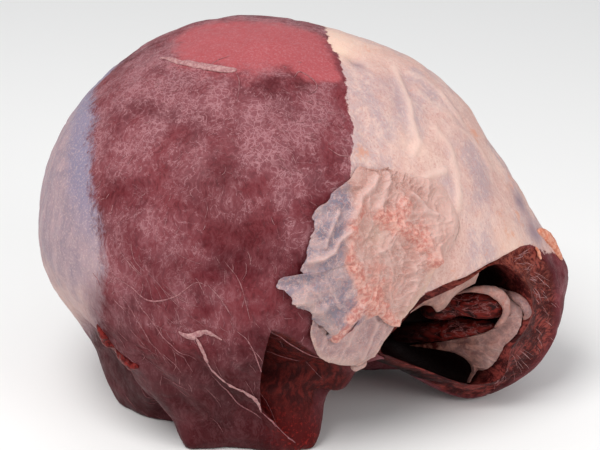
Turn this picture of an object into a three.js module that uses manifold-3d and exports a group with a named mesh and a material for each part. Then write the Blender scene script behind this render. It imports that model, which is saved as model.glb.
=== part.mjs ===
// A whole raw beef sirloin joint, boned out, lying on its cut side.
// Millimetres, +Z up, the origin on the board under the middle of the joint, the hollow towards +X.
import * as THREE from 'three';
import { ParametricGeometry } from 'three/addons/geometries/ParametricGeometry.js';
import { mergeVertices } from 'three/addons/utils/BufferGeometryUtils.js';
import Module from 'manifold-3d';

const wasm = await Module();
wasm.setup();

// The joint's middle, from which the muscles, the skin and the hollow are all measured
const heartX = -22.5;
const heartY = -2;
const heartHeight = 92;

// Each muscle is an ellipsoid: its centre from the heart, its half sizes, and its turn and tilt in degrees
const muscles = [
  { centre: [-10, 2, 2], half: [100, 102, 94], turn: 0, tilt: 0 },
  { centre: [44, 10, 8], half: [105, 74, 64], turn: -4, tilt: -34 },
  { centre: [56, 6, -29], half: [89, 51, 47], turn: -2, tilt: -8 },
  { centre: [-14, -22, -50], half: [52, 52, 66], turn: -90, tilt: 0 },
  { centre: [-26, 15, -40], half: [62, 70, 58], turn: 0, tilt: 0 },
];
const muscleBlend = 9;

// Swellings and dents of the outside: the direction and the spread in degrees, the height in mm
const swellings = [
  { azimuth: 17, elevation: 37, spread: 24, height: 8 },
  { azimuth: 205, elevation: -32, spread: 16, height: -14 },
  { azimuth: -167, elevation: -50, spread: 11, height: 8 },
  { azimuth: -130, elevation: -54, spread: 9, height: -11 },
  { azimuth: -75, elevation: -52, spread: 10, height: 13.5 },
  { azimuth: -47, elevation: -59, spread: 11, height: -19.7 },
  { azimuth: -24, elevation: -53, spread: 12, height: -45 },
  { azimuth: -9, elevation: -35, spread: 14, height: 19 },
  { azimuth: 21, elevation: -52, spread: 14, height: 14 },
  { azimuth: -11, elevation: -42, spread: 6, height: 12 },
  { azimuth: -116, elevation: -51, spread: 5.5, height: 11 },
  { azimuth: -66, elevation: -52, spread: 4.5, height: 9 },
  { azimuth: 3, elevation: -11, spread: 4.5, height: 4 },
  { azimuth: 13, elevation: 25, spread: 6, height: 1.5 },
  { azimuth: 3, elevation: 7, spread: 7, height: 2 },
  { azimuth: -57, elevation: -39, spread: 5, height: 5 },
  { azimuth: -65, elevation: -44, spread: 3.5, height: -7 },
  { azimuth: -178, elevation: -12, spread: 14, height: 1.5 },
  { azimuth: 178, elevation: 32, spread: 14, height: -1.5 },
];

// Seams between the muscles: grooves (or ridges) of the skin in straight stretches between directions
const seams = [
  { line: [[-104, -10], [-96, -24], [-88, -33]], width: 4, height: -1.5 },
  { line: [[-138, -24], [-145, -39], [-133, -43], [-136, -54]], width: 5, height: -4 },
  { line: [[-24, 65], [-55, 38]], width: 5, height: 1.2 },
  { line: [[-109, -19], [-103, -28], [-96, -37], [-89, -45]], width: 4, height: -2.5 },
  { line: [[-125, -22], [-119, -30], [-113, -40], [-113, -53]], width: 5, height: -2.2 },
  { line: [[-106, -32], [-98, -42], [-86, -47]], width: 4, height: -1.5 },
  { line: [[-42, 1], [-29, 12]], width: 5, height: 1.5 },
  { line: [[-134, 12], [-157, 38]], width: 6, height: -1 },
];

// The hollow left by the bone opens along this direction
const hollowAzimuth = -27.8;
const hollowElevation = -17.1;
// Angles from that direction to the rim of the cut face and to the mouth, at 12 even turns round it
const rimAngles = [21.5, 25, 17.5, 13.5, 13.8, 15.2, 16.4, 20.5, 19.5, 24, 27.5, 22.5];
const mouthAngles = [12, 15.5, 16.2, 12.2, 11.6, 13.4, 15, 19.4, 17.6, 18, 19, 11];
const hollowEnd = [48, -14, -38];
const hollowFullness = 0.55;
const hollowSwell = 0.16;
const hollowSwellReach = 1.6;
const mouthStep = 5;
const cutFaceDish = 2.5;

// The slit between the front muscle and the one behind it, in degrees round and away from the hollow
const slitEdgeTurns = [217, 231];
const slitEdgeAngles = [57, 50];
const slitStep = 0.5;
const slitStart = [179, 190];
// Towards the foot it loses shares of its depth, each between two turns
const slitLosses = [
  { turns: [206, 215], lost: 0.62 },
  { turns: [215, 232], lost: 0.38 },
];
const slitPush = [-17, 27, 3];
const slitFade = 1.2;
const slitFarTurns = [181, 186, 196, 205, 224];
const slitFarAngles = [50, 46, 38, 31, 26];

// The joint's surface is a grid: columns round the hollow, rings from its end to the far side
const columns = 66;
const columnGather = 0.5;
const columnGatherTurn = 215;
const pocketRings = 13;
const cutFaceRings = 3;
const nearRings = 15;
const farRings = 26;

// The torn membrane that hangs over the slit: its free edge and the line where it is still attached
const flapEdge = [
  [-49, 30], [-58, 30], [-65, 29], [-69, 24], [-73, 16], [-75, 10], [-81, 7], [-83, 3],
  [-79, -3], [-73, -9], [-73, -17], [-67, -24], [-60, -27], [-50, -28], [-44, -18],
];
const flapRoot = [[-48, 27], [-52, 20], [-55, 12], [-57, 4], [-56, -5], [-50, -11], [-43, -16]];
const flapThickness = 2.6;
const flapLift = 4.5;
const flapWave = 2;
const flapFolds = 7;
const flapSunk = 1.6;
const flapHangStart = 0.45;
const flapHang = 3;
const flapAcross = 7;
const flapLength = 30;

// Muscle and membrane rolled up inside the hollow: points of each path from the heart, and radii along it
const rolls = [
  {
    path: [
      [80, -20, -40], [90, -24, -37], [97, -26, -34], [104, -28, -33], [111, -29, -33], [118, -27, -34],
      [126, -22, -36],
    ],
    radii: [5, 6, 6.5, 7, 7.5, 6.5, 5],
  },
  {
    path: [[66, -8, -59], [76, -11, -57], [87, -15, -54], [98, -20, -50], [108, -25, -48], [116, -29, -44]],
    radii: [5, 5.5, 5.5, 5.5, 5, 4],
  },
  {
    path: [[96, -31, -27], [106, -34, -23], [117, -33, -26], [121, -33, -33], [119, -34, -39], [115, -33, -43]],
    radii: [1.4, 2.4, 3, 2.8, 2.2, 1.6],
  },
];

// Cords that lie on the outside, between directions in degrees
const cords = [
  {
    path: [[-139, -14], [-138, -18], [-137, -21], [-135, -24], [-131, -26], [-127, -25.5]],
    radii: [1.6, 3.2, 3.6, 3.6, 2],
  },
  { path: [[-54.5, -28], [-53.5, -31], [-52, -33]], radii: [3, 4.4, 2.8] },
  { path: [[-67, -15.5], [-62, -8], [-59, -5.6], [-52, -10.6], [-48, -14]], radii: [2, 3.6, 3.6, 3, 2] },
  { path: [[-46, -8], [-42, 1], [-34, 8], [-29, 12]], radii: [1.6, 2.6, 2.6, 1.6] },
  { path: [[-52, 19], [-47, 14], [-41, 9.6], [-38, 5.6], [-37, 1.7]], radii: [1.6, 2.6, 2.6, 1.6] },
];
const cordLift = 0.4;

// Sheets inside the hollow, from the line where each is attached to its free edge, in mm from the heart:
// the fan of membrane by the cut face, and the wavy edge of fat that hangs from the lip
const sheets = [
  {
    root: [
      [118, -18, -27.5], [127, -26, -31.5], [129, -30, -35], [129, -32, -39.5], [128, -34.5, -44],
      [120.5, -36, -52.5], [118.5, -33, -59.5], [112, -25, -71], [105, -23.5, -78.5],
    ],
    edge: [
      [117, -29, -27.5], [121, -33, -35], [116.5, -34, -43], [107, -31, -49.5], [90, -18, -58.5],
      [75.5, -9, -65], [89.5, -15, -63], [103.5, -22.5, -67], [106, -23, -72], [104, -24, -78.5],
    ],
    thickness: 2.4,
    length: 18,
  },
  {
    root: [
      [70, -62, -18.5], [75, -59.5, -14.5], [81.5, -57, -10.5], [91, -53, -7.5], [101, -48, -5.5], [106, -45, -5],
    ],
    edge: [
      [71, -55, -27.5], [79, -53, -23], [86, -50.5, -27.5], [90, -48, -26.5], [95, -43.5, -22], [105, -36, -19],
    ],
    thickness: 2.6,
    length: 12,
  },
];
const sheetOut = [0.35, -0.9, 0.25];
const sheetAcross = 4;

const muscleColour = 0x7a3338;
const muscleRoughness = 0.45;

const radians = (degrees) => THREE.MathUtils.degToRad(degrees);
const vector = (list) => new THREE.Vector3(...list);
const heart = new THREE.Vector3(heartX, heartY, heartHeight);
const fullTurn = 2 * Math.PI;

function direction(azimuth, elevation) {
  const level = Math.cos(radians(elevation));
  return new THREE.Vector3(
    level * Math.cos(radians(azimuth)),
    level * Math.sin(radians(azimuth)),
    Math.sin(radians(elevation)),
  );
}

// 0 below the first value, 1 above the second, smooth between
function ease(low, high, value) {
  return THREE.MathUtils.smoothstep(value, low, high);
}

// Straight-line interpolation in a short table
function along(places, values, place) {
  if (place <= places[0]) return values[0];
  const next = places.findIndex((x) => x >= place);
  if (next < 0) return values[values.length - 1];
  const share = (place - places[next - 1]) / (places[next] - places[next - 1]);
  return THREE.MathUtils.lerp(values[next - 1], values[next], share);
}

// Distance from the heart to one muscle's surface: the far root of the ray and ellipsoid equation
const muscleFrames = muscles.map(({ centre, half, turn, tilt }) => {
  const length = direction(turn, tilt);
  const width = new THREE.Vector3(-Math.sin(radians(turn)), Math.cos(radians(turn)), 0);
  const axes = [length, width, length.clone().cross(width)];
  const start = axes.map((axis, i) => -vector(centre).dot(axis) / half[i]);
  return { axes, half, start };
});

function muscleReach({ axes, half, start }, toward) {
  const step = axes.map((axis, i) => toward.dot(axis) / half[i]);
  const a = step[0] ** 2 + step[1] ** 2 + step[2] ** 2;
  const b = step[0] * start[0] + step[1] * start[1] + step[2] * start[2];
  const c = start[0] ** 2 + start[1] ** 2 + start[2] ** 2 - 1;
  return (Math.sqrt(b * b - a * c) - b) / a;
}

// A seam's height falls off with the smallest distance from its stretches, as a bell curve
const seamLines = seams.map(({ line, width, height }) => {
  const corners = line.map((place) => direction(...place));
  const stretches = corners.slice(1).map((end, i) => {
    return { start: corners[i], run: end.clone().sub(corners[i]) };
  });
  return { stretches, width, height };
});

function stretchDistance({ start, run }, toward, reach) {
  const offset = toward.clone().sub(start);
  const share = THREE.MathUtils.clamp(offset.dot(run) / run.lengthSq(), 0, 1);
  return offset.addScaledVector(run, -share).length() * reach;
}

function seamHeight(toward, reach) {
  let total = 0;
  for (const { stretches, width, height } of seamLines) {
    const distance = Math.min(...stretches.map((stretch) => stretchDistance(stretch, toward, reach)));
    total += height * Math.exp(-((distance / width) ** 2));
  }
  return total;
}

// The muscles blend as a power sum of their reaches, then take the swellings and seams
function skinReach(toward) {
  let sum = 0;
  for (const frame of muscleFrames) {
    sum += muscleReach(frame, toward) ** muscleBlend;
  }
  let reach = sum ** (1 / muscleBlend);
  for (const { azimuth, elevation, spread, height } of swellings) {
    const off = 1 - toward.dot(direction(azimuth, elevation));
    reach += height * Math.exp(-off / (1 - Math.cos(radians(spread))));
  }
  return reach + seamHeight(toward, reach);
}

// What would sink below the board is flattened on it
function onBoard(point) {
  point.z = Math.max(point.z, 0);
  return point;
}

function skinPoint(toward, lift) {
  return toward.clone().multiplyScalar(skinReach(toward) + lift).add(heart);
}

// Directions round the hollow: u in degrees round it, angle in degrees away from it
const hollowAxis = direction(hollowAzimuth, hollowElevation);
const hollowSide = new THREE.Vector3(0, 0, 1).cross(hollowAxis).normalize();
const hollowUp = hollowAxis.clone().cross(hollowSide);

function roundHollow(turn, angle) {
  const out = Math.sin(radians(angle));
  return hollowAxis.clone().multiplyScalar(Math.cos(radians(angle)))
    .addScaledVector(hollowSide, out * Math.cos(radians(turn)))
    .addScaledVector(hollowUp, out * Math.sin(radians(turn)));
}

// Closed smooth curve (Catmull-Rom) through even values round the hollow
function loopValue(values, turn) {
  const count = values.length;
  const place = (turn / 360) * count;
  const i = Math.floor(place);
  const f = place - i;
  const at = (k) => values[(i + k + count) % count];
  const bend = 2 * at(-1) - 5 * at(0) + 4 * at(1) - at(2);
  const swing = 3 * at(0) - at(-1) - 3 * at(1) + at(2);
  return (2 * at(0) + (at(1) - at(-1)) * f + bend * f * f + swing * f ** 3) / 2;
}

// The slit: deep right at the front muscle's edge, and rising to nothing at the muscle behind it
function slitEdge(turn) {
  return along(slitEdgeTurns, slitEdgeAngles, turn);
}

function slitDepth(turn, angle) {
  const edge = slitEdge(turn);
  const share = (edge - angle) / (edge - along(slitFarTurns, slitFarAngles, turn));
  if (share <= 0 || share >= 1) return 0;
  let down = ease(...slitStart, turn);
  for (const { turns, lost } of slitLosses) {
    down -= lost * ease(...turns, turn);
  }
  return Math.max(0, down) * Math.min(1, share * edge / slitStep) * (1 - share) ** slitFade;
}

function outerPoint(turn, angle) {
  const point = skinPoint(roundHollow(turn, angle), 0);
  point.addScaledVector(vector(slitPush), slitDepth(turn, angle));
  return onBoard(point);
}

const mouthMiddle = new THREE.Vector3();
for (let turn = 0; turn < 360; turn += mouthStep) {
  mouthMiddle.addScaledVector(outerPoint(turn, loopValue(mouthAngles, turn)), mouthStep / 360);
}
const hollowRun = vector(hollowEnd).add(heart).sub(mouthMiddle);

// The hollow's wall: the mouth's outline shrinks by a power of a cosine as it goes in, to a round end
function hollowPoint(turn, share) {
  const rim = outerPoint(turn, loopValue(mouthAngles, turn)).sub(mouthMiddle);
  const slant = rim.dot(hollowRun) / hollowRun.lengthSq();
  rim.addScaledVector(hollowRun, -slant);
  const quarter = share * Math.PI / 2;
  const swell = 1 + hollowSwell * Math.sin(Math.PI * Math.min(1, share * hollowSwellReach));
  const width = share < 1 ? Math.cos(quarter) ** hollowFullness * swell : 0;
  const depth = Math.sin(quarter);
  return onBoard(mouthMiddle.clone()
    .addScaledVector(rim, width)
    .addScaledVector(hollowRun, slant * (1 - depth) + depth));
}

function cutFacePoint(turn, share) {
  const inner = outerPoint(turn, loopValue(mouthAngles, turn));
  const outer = outerPoint(turn, loopValue(rimAngles, turn));
  const dish = cutFaceDish * Math.sin(Math.PI * share);
  return onBoard(inner.lerp(outer, share).addScaledVector(hollowAxis, -dish));
}

// The whole skin: rings up the hollow, over the cut face, to the slit's edge, and round to the far side
function jointPoint(u, v, target) {
  const even = (u % 1) * fullTurn;
  const gathered = even - columnGather * Math.sin(even - radians(columnGatherTurn));
  const turn = (THREE.MathUtils.radToDeg(gathered) + 720) % 360;
  const rims = [pocketRings, pocketRings + cutFaceRings, pocketRings + cutFaceRings + nearRings];
  const ring = Math.round(v * (rims[2] + farRings));
  const rim = loopValue(rimAngles, turn);
  const edge = slitEdge(turn);
  if (ring < rims[0]) {
    target.copy(hollowPoint(ring ? turn : 0, 1 - ring / pocketRings));
  } else if (ring < rims[1]) {
    target.copy(cutFacePoint(turn, (ring - rims[0]) / cutFaceRings));
  } else if (ring < rims[2]) {
    const share = (ring - rims[1]) / (nearRings - 1);
    target.copy(outerPoint(turn, THREE.MathUtils.lerp(rim, edge - slitStep, share)));
  } else {
    const share = (ring - rims[2]) / farRings;
    const angle = THREE.MathUtils.lerp(edge, 180, share);
    target.copy(outerPoint(share < 1 ? turn : 0, angle));
  }
}

// A tube along a curve with round ends, its radius running between the given ones
const tubeRoundness = 8;
const rollSides = 10;
const cordSides = 8;
const tubeSteps = 14;

function tubePoint(curve, radii) {
  return (u, v, target) => {
    const end = Math.sqrt(Math.max(0, 1 - (2 * v - 1) ** tubeRoundness));
    const place = v * (radii.length - 1);
    const radius = end * along(radii.map((r, i) => i), radii, place);
    const tangent = curve.getTangent(v);
    const side = new THREE.Vector3(0, 0, 1).cross(tangent).normalize();
    const up = tangent.clone().cross(side);
    const turn = (u % 1) * fullTurn;
    target.copy(curve.getPoint(v))
      .addScaledVector(side, radius * Math.cos(turn))
      .addScaledVector(up, radius * Math.sin(turn));
  };
}

function rollGeometry({ path, radii }) {
  const curve = new THREE.CatmullRomCurve3(path.map((point) => vector(point).add(heart)));
  return new ParametricGeometry(tubePoint(curve, radii), rollSides, tubeSteps);
}

function cordGeometry({ path, radii }) {
  const points = path.map(([azimuth, elevation]) => skinPoint(direction(azimuth, elevation), cordLift));
  return new ParametricGeometry(tubePoint(new THREE.CatmullRomCurve3(points), radii), cordSides, tubeSteps);
}

// A sheet between two curves: out along its top for half of u, and back along its underside
const sheetRoundness = 12;
const sheetEdgePower = 0.3;

function sheetGeometry(sheetPoint, thickness, across, length) {
  const surface = (u, v, target) => {
    const round = (u % 1) * 2;
    const top = round < 1;
    const share = top ? round : 2 - round;
    const { point, out } = sheetPoint(share, v);
    const rim = Math.sqrt(Math.max(0, 1 - (2 * v - 1) ** sheetRoundness));
    const end = Math.sin(Math.PI * share) ** sheetEdgePower;
    const side = top ? 1 : -1;
    target.copy(point).addScaledVector(out, side * thickness / 2 * rim * end);
  };
  return new ParametricGeometry(surface, 2 * across, length);
}

function flapPoint(edge, root) {
  return (share, v) => {
    const free = edge.getPoint(v);
    const held = root.getPoint(v);
    const toward = direction(
      THREE.MathUtils.lerp(held.x, free.x, share),
      THREE.MathUtils.lerp(held.y, free.y, share),
    );
    const folds = flapWave * Math.sin(fullTurn * flapFolds * v / 2) * share;
    const hang = flapHang * ease(flapHangStart, 1, v) * share;
    const lift = flapLift * share ** 2 + folds + hang - flapSunk * (1 - share);
    return { point: skinPoint(toward, lift), out: toward };
  };
}

function flapGeometry() {
  const curve = (list) => new THREE.CatmullRomCurve3(list.map(([x, y]) => new THREE.Vector3(x, y, 0)));
  return sheetGeometry(flapPoint(curve(flapEdge), curve(flapRoot)), flapThickness, flapAcross, flapLength);
}

function innerSheetGeometry({ root, edge, thickness, length }) {
  const curve = (list) => new THREE.CatmullRomCurve3(list.map((point) => vector(point).add(heart)));
  const held = curve(root);
  const free = curve(edge);
  const out = vector(sheetOut);
  const sheetPoint = (share, v) => ({ point: held.getPoint(v).lerp(free.getPoint(v), share), out });
  return sheetGeometry(sheetPoint, thickness, sheetAcross, length);
}

// One closed solid of a geometry: its shared corners merged, its empty triangles dropped, facing out
function solidOf(geometry) {
  geometry.deleteAttribute('normal');
  geometry.deleteAttribute('uv');
  const merged = mergeVertices(geometry, 1e-3);
  const corners = merged.index.array;
  const triVerts = [];
  for (let i = 0; i < corners.length; i += 3) {
    const [a, b, c] = corners.slice(i, i + 3);
    if (a !== b && b !== c && c !== a) triVerts.push(a, b, c);
  }
  const vertProperties = Float32Array.from(merged.attributes.position.array);
  const facing = (order) => {
    const mesh = new wasm.Mesh({ numProp: 3, vertProperties, triVerts: Uint32Array.from(order) });
    return new wasm.Manifold(mesh);
  };
  const solid = facing(triVerts);
  return solid.volume() > 0 ? solid : facing(triVerts.reverse());
}

function geometryOf(solid) {
  const { vertProperties, triVerts } = solid.getMesh();
  const geometry = new THREE.BufferGeometry();
  geometry.setAttribute('position', new THREE.BufferAttribute(vertProperties, 3));
  geometry.setIndex(new THREE.BufferAttribute(triVerts, 1));
  geometry.computeVertexNormals();
  return geometry;
}

const rings = pocketRings + cutFaceRings + nearRings + farRings;
let joint = solidOf(new ParametricGeometry(jointPoint, columns, rings));
const pieces = [
  flapGeometry(),
  ...sheets.map(innerSheetGeometry),
  ...rolls.map(rollGeometry),
  ...cords.map(cordGeometry),
];
for (const piece of pieces) {
  joint = joint.add(solidOf(piece));
}

const sirloin = new THREE.Mesh(
  geometryOf(joint),
  new THREE.MeshStandardMaterial({ color: muscleColour, roughness: muscleRoughness, metalness: 0 }),
);
sirloin.name = 'sirloin';

const part = new THREE.Group();
part.add(sirloin);

export default part;
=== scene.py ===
import math
import bpy
import numpy as np
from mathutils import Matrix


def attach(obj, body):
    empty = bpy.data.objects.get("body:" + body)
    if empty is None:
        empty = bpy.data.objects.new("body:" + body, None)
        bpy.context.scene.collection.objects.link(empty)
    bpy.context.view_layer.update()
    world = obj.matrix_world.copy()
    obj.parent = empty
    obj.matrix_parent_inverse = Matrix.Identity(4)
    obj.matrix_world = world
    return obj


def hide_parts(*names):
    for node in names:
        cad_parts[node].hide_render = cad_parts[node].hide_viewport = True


# A whole raw beef sirloin joint on a pale board, lit by soft studio lamps.
# Shapes are worked out in millimetres from the joint's heart and put into the meshes in metres.

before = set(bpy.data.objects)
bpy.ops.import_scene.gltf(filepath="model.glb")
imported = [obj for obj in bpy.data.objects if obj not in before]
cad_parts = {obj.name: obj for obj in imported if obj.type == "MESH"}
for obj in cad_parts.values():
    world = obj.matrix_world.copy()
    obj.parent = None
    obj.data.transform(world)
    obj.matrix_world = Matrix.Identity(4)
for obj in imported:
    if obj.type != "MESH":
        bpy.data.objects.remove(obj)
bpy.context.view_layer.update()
node = "sirloin"
body = "root"
metre = 0.001
print("frame loaded")

# The same driving values as the joint's solid: muscles, swellings, seams, hollow and slit
joint = {
    "heart": (-22.5, -2.0, 92.0),
    "muscles": [  # centre from the heart, half sizes, turn, tilt
        ((-10, 2, 2), (100, 102, 94), 0, 0), ((44, 10, 8), (105, 74, 64), -4, -34),
        ((56, 6, -29), (89, 51, 47), -2, -8), ((-14, -22, -50), (52, 52, 66), -90, 0),
        ((-26, 15, -40), (62, 70, 58), 0, 0),
    ],
    "blend": 9,
    "swellings": [  # azimuth, elevation, spread, height
        (17, 37, 24, 8), (205, -32, 16, -14), (-167, -50, 11, 8), (-130, -54, 9, -11),
        (-75, -52, 10, 13.5), (-47, -59, 11, -19.7), (-24, -53, 12, -45), (-9, -35, 14, 19),
        (21, -52, 14, 14), (-11, -42, 6, 12), (-116, -51, 5.5, 11), (-66, -52, 4.5, 9), (3, -11, 4.5, 4),
        (13, 25, 6, 1.5), (3, 7, 7, 2), (-57, -39, 5, 5), (-65, -44, 3.5, -7), (-178, -12, 14, 1.5),
        (178, 32, 14, -1.5),
    ],
    "seams": [  # line, width, height
        ([(-104, -10), (-96, -24), (-88, -33)], 4, -1.5),
        ([(-138, -24), (-145, -39), (-133, -43), (-136, -54)], 5, -4), ([(-24, 65), (-55, 38)], 5, 1.2),
        ([(-109, -19), (-103, -28), (-96, -37), (-89, -45)], 4, -2.5),
        ([(-125, -22), (-119, -30), (-113, -40), (-113, -53)], 5, -2.2),
        ([(-106, -32), (-98, -42), (-86, -47)], 4, -1.5),
        ([(-42, 1), (-29, 12)], 5, 1.5), ([(-134, 12), (-157, 38)], 6, -1),
    ],
    "hollow": (-27.8, -17.1),
    "rimAngles": [21.5, 25, 17.5, 13.5, 13.8, 15.2, 16.4, 20.5, 19.5, 24, 27.5, 22.5],
    "mouthAngles": [12, 15.5, 16.2, 12.2, 11.6, 13.4, 15, 19.4, 17.6, 18, 19, 11],
    "hollowEnd": (48, -14, -38),
    "fullness": 0.55,
    "swell": 0.16,
    "swellReach": 1.6,
    "creaseStretch": (0.3, 1, 1),
    "creases": [(6, 1.3, 31), (3, 0.6, 32)],  # size, height, seed
    "cutBumps": [(4.5, 0.9, 33), (2.4, 0.5, 34)],
    "dish": 2.5,
    "slitEdge": ([217, 231], [57, 50]),  # turns round the hollow and the edge's angles there
    "slitStep": 0.5,
    "slitStart": (179, 190),
    # turns between which it loses these shares of its depth
    "slitFoot": [(206, 215, 0.62), (215, 232, 0.38)],
    "slitPush": (-17, 27, 3),
    "slitFade": 1.2,
    "slitFar": ([181, 186, 196, 205, 224], [50, 46, 38, 31, 26]),
    "gather": (0.5, 215),
    "farPower": 1.2,
    "columns": 430,
    "rows": (34, 12, 70, 110),  # hollow, cut face, up to the slit's edge, beyond it
}
heart = np.array(joint["heart"])


def direction(azimuth, elevation):
    # unit vector: cosines of azimuth and elevation on the level, sine of elevation up
    a = np.radians(azimuth)
    e = np.radians(elevation)
    return np.stack([np.cos(e) * np.cos(a), np.cos(e) * np.sin(a), np.sin(e) + 0 * a], -1)


def ease(low, high, x):
    # cubic step from 0 at low to 1 at high
    t = np.clip((x - low) / (high - low), 0, 1)
    return t * t * (3 - 2 * t)


def unit(vectors):
    # each vector over its own length
    return vectors / np.linalg.norm(vectors, axis=-1, keepdims=True)


def smoothNoise(points, size, seed):
    # value noise: random heights on a cubic lattice of the given size, eased between its corners
    lattice = np.random.default_rng(seed).uniform(-1, 1, (32, 32, 32))
    q = points / size
    cell = np.floor(q).astype(int)
    f = q - cell
    f = f * f * (3 - 2 * f)
    total = 0
    for corner in np.ndindex(2, 2, 2):
        i, j, k = ((cell[..., n] + corner[n]) % 32 for n in range(3))
        weight = 1
        for n in range(3):
            weight = weight * (f[..., n] if corner[n] else 1 - f[..., n])
        total = total + weight * lattice[i, j, k]
    return total


def noises(points, layers):
    # sum of noises: size, height, seed
    return sum(height * smoothNoise(points, size, seed) for size, height, seed in layers)


def muscleReach(toward, muscle):
    # far root of the quadratic for a ray from the heart and the muscle's ellipsoid
    centre, half, turn, tilt = muscle
    length = direction(turn, tilt)
    width = np.array([-math.sin(math.radians(turn)), math.cos(math.radians(turn)), 0])
    axes = np.stack([length, width, np.cross(length, width)])
    step = toward @ axes.T / np.array(half)
    start = -(axes @ np.array(centre)) / np.array(half)
    a = (step ** 2).sum(-1)
    b = step @ start
    c = start @ start - 1
    return (np.sqrt(b * b - a * c) - b) / a


relief = {
    "lumps": [(36, 1.0, 11), (17, 0.6, 12), (8, 0.35, 13), (4.2, 0.14, 14)],  # size, height, seed
    "crease": (11, 0.5, 21),
}


def lineDistance(toward, reach, line):
    # smallest distance in mm from a line through directions, as straight stretches at the same reach
    nearest = np.full(reach.shape, 1e9)
    corners = np.stack([direction(*corner) for corner in line])
    for start, end in zip(corners[:-1], corners[1:]):
        run = end - start
        offset = toward - start
        share = np.clip(offset @ run / (run @ run), 0, 1)
        nearest = np.minimum(nearest, np.linalg.norm(offset - share[..., None] * run, axis=-1) * reach)
    return nearest


def lineBell(toward, reach, line, width):
    # bell curve of the distance from a line
    return np.exp(-(lineDistance(toward, reach, line) / width) ** 2)


def ridges(toward, reach, lines):
    # sum of bell curves along lines: corners, width, height
    return sum(height * lineBell(toward, reach, line, width) for line, width, height in lines)


def bells(toward, spots):
    # sum of bell curves round directions: azimuth, elevation, spread in degrees, height
    total = 0 * toward[..., 0]
    for azimuth, elevation, spread, height in spots:
        off = 1 - toward @ direction(azimuth, elevation)
        total = total + height * np.exp(-off / (1 - math.cos(math.radians(spread))))
    return total


def skinReach(toward):
    # power sum of the muscles' reaches, plus bell-shaped swellings and seams
    blend = joint["blend"]
    reach = sum(muscleReach(toward, muscle) ** blend for muscle in joint["muscles"]) ** (1 / blend)
    reach = reach + bells(toward, joint["swellings"])
    return reach + ridges(toward, reach, joint["seams"])


def skinRelief(points):
    # sum of noises of falling size, the last one folded so that it makes creases
    size, height, seed = relief["crease"]
    return noises(points, relief["lumps"]) - height * (1 - np.abs(smoothNoise(points, size, seed))) ** 6


def ridged(points, size, seed):
    # thin ridges where a noise crosses zero, with wide hollows between them
    return (1 - np.abs(smoothNoise(points, size, seed))) ** 5


def skinPoint(toward, lift=0.0):
    # heart plus the direction times the reach, the relief and any lift
    base = heart + toward * skinReach(toward)[..., None]
    return base + toward * (skinRelief(base) + lift)[..., None]


def evenly(corners, count):
    # even steps along the open Catmull-Rom curve through the corners
    p = np.array(corners, float)
    p = np.concatenate([[2 * p[0] - p[1]], p, [2 * p[-1] - p[-2]]])

    def at(place):
        i = np.minimum(place.astype(int), len(p) - 4)
        f = (place - i)[:, None]
        a, b, c, d = (p[i + k] for k in range(4))
        bend = 2 * a - 5 * b + 4 * c - d
        swing = 3 * b - a - 3 * c + d
        return (2 * b + (c - a) * f + bend * f ** 2 + swing * f ** 3) / 2

    fine = np.linspace(0, len(p) - 3, 40 * len(p))
    steps = np.linalg.norm(np.diff(at(fine), axis=0), axis=1)
    length = np.concatenate([[0], np.cumsum(steps)])
    return at(np.interp(np.linspace(0, length[-1], count), length, fine))


hollowAxis = direction(*joint["hollow"])
hollowSide = np.cross([0, 0, 1.0], hollowAxis)
hollowSide /= np.linalg.norm(hollowSide)
hollowUp = np.cross(hollowAxis, hollowSide)


def roundHollow(turn, angle):
    # direction at an angle from the hollow's axis, turned round it
    t = np.radians(turn)[..., None]
    a = np.radians(angle)[..., None]
    return hollowAxis * np.cos(a) + np.sin(a) * (hollowSide * np.cos(t) + hollowUp * np.sin(t))


def loopValue(values, turn):
    # closed Catmull-Rom curve through even values
    v = np.array(values, float)
    place = turn / 360 * len(v)
    i = np.floor(place).astype(int)
    f = place - i
    before, here, after, later = (v[(i + k) % len(v)] for k in (-1, 0, 1, 2))
    bend = 2 * before - 5 * here + 4 * after - later
    swing = 3 * here - before - 3 * after + later
    return (2 * here + (after - before) * f + bend * f ** 2 + swing * f ** 3) / 2


def slitEdge(turn):
    # straight-line interpolation of the edge's angle
    return np.interp(turn, *joint["slitEdge"])


def slitDepth(turn, angle):
    # full at the front muscle's edge, falling as a power towards the muscle behind, eased at both ends
    edge = slitEdge(turn)
    share = (edge - angle) / (edge - np.interp(turn, *joint["slitFar"]))
    down = ease(*joint["slitStart"], turn) - sum(
        loss * ease(low, high, turn) for low, high, loss in joint["slitFoot"]
    )
    rise = np.clip(share * edge / joint["slitStep"], 0, 1)
    return np.maximum(down, 0) * rise * np.clip(1 - share, 0, 1) ** joint["slitFade"]


def onBoard(points):
    # what would sink below the board is flattened on it
    points[..., 2] = np.maximum(points[..., 2], 0)
    return points


def outerPoint(turn, angle):
    points = skinPoint(roundHollow(turn, angle))
    points = points + slitDepth(turn, angle)[..., None] * np.array(joint["slitPush"])
    return onBoard(points)


def capped(grid):
    # a ring of points at each end drawn to the middle of that end
    first, last = (0 * grid[n:n + 1] + grid[n].mean(0) for n in (0, len(grid) - 1))
    return np.concatenate([first, grid, last])


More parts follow.
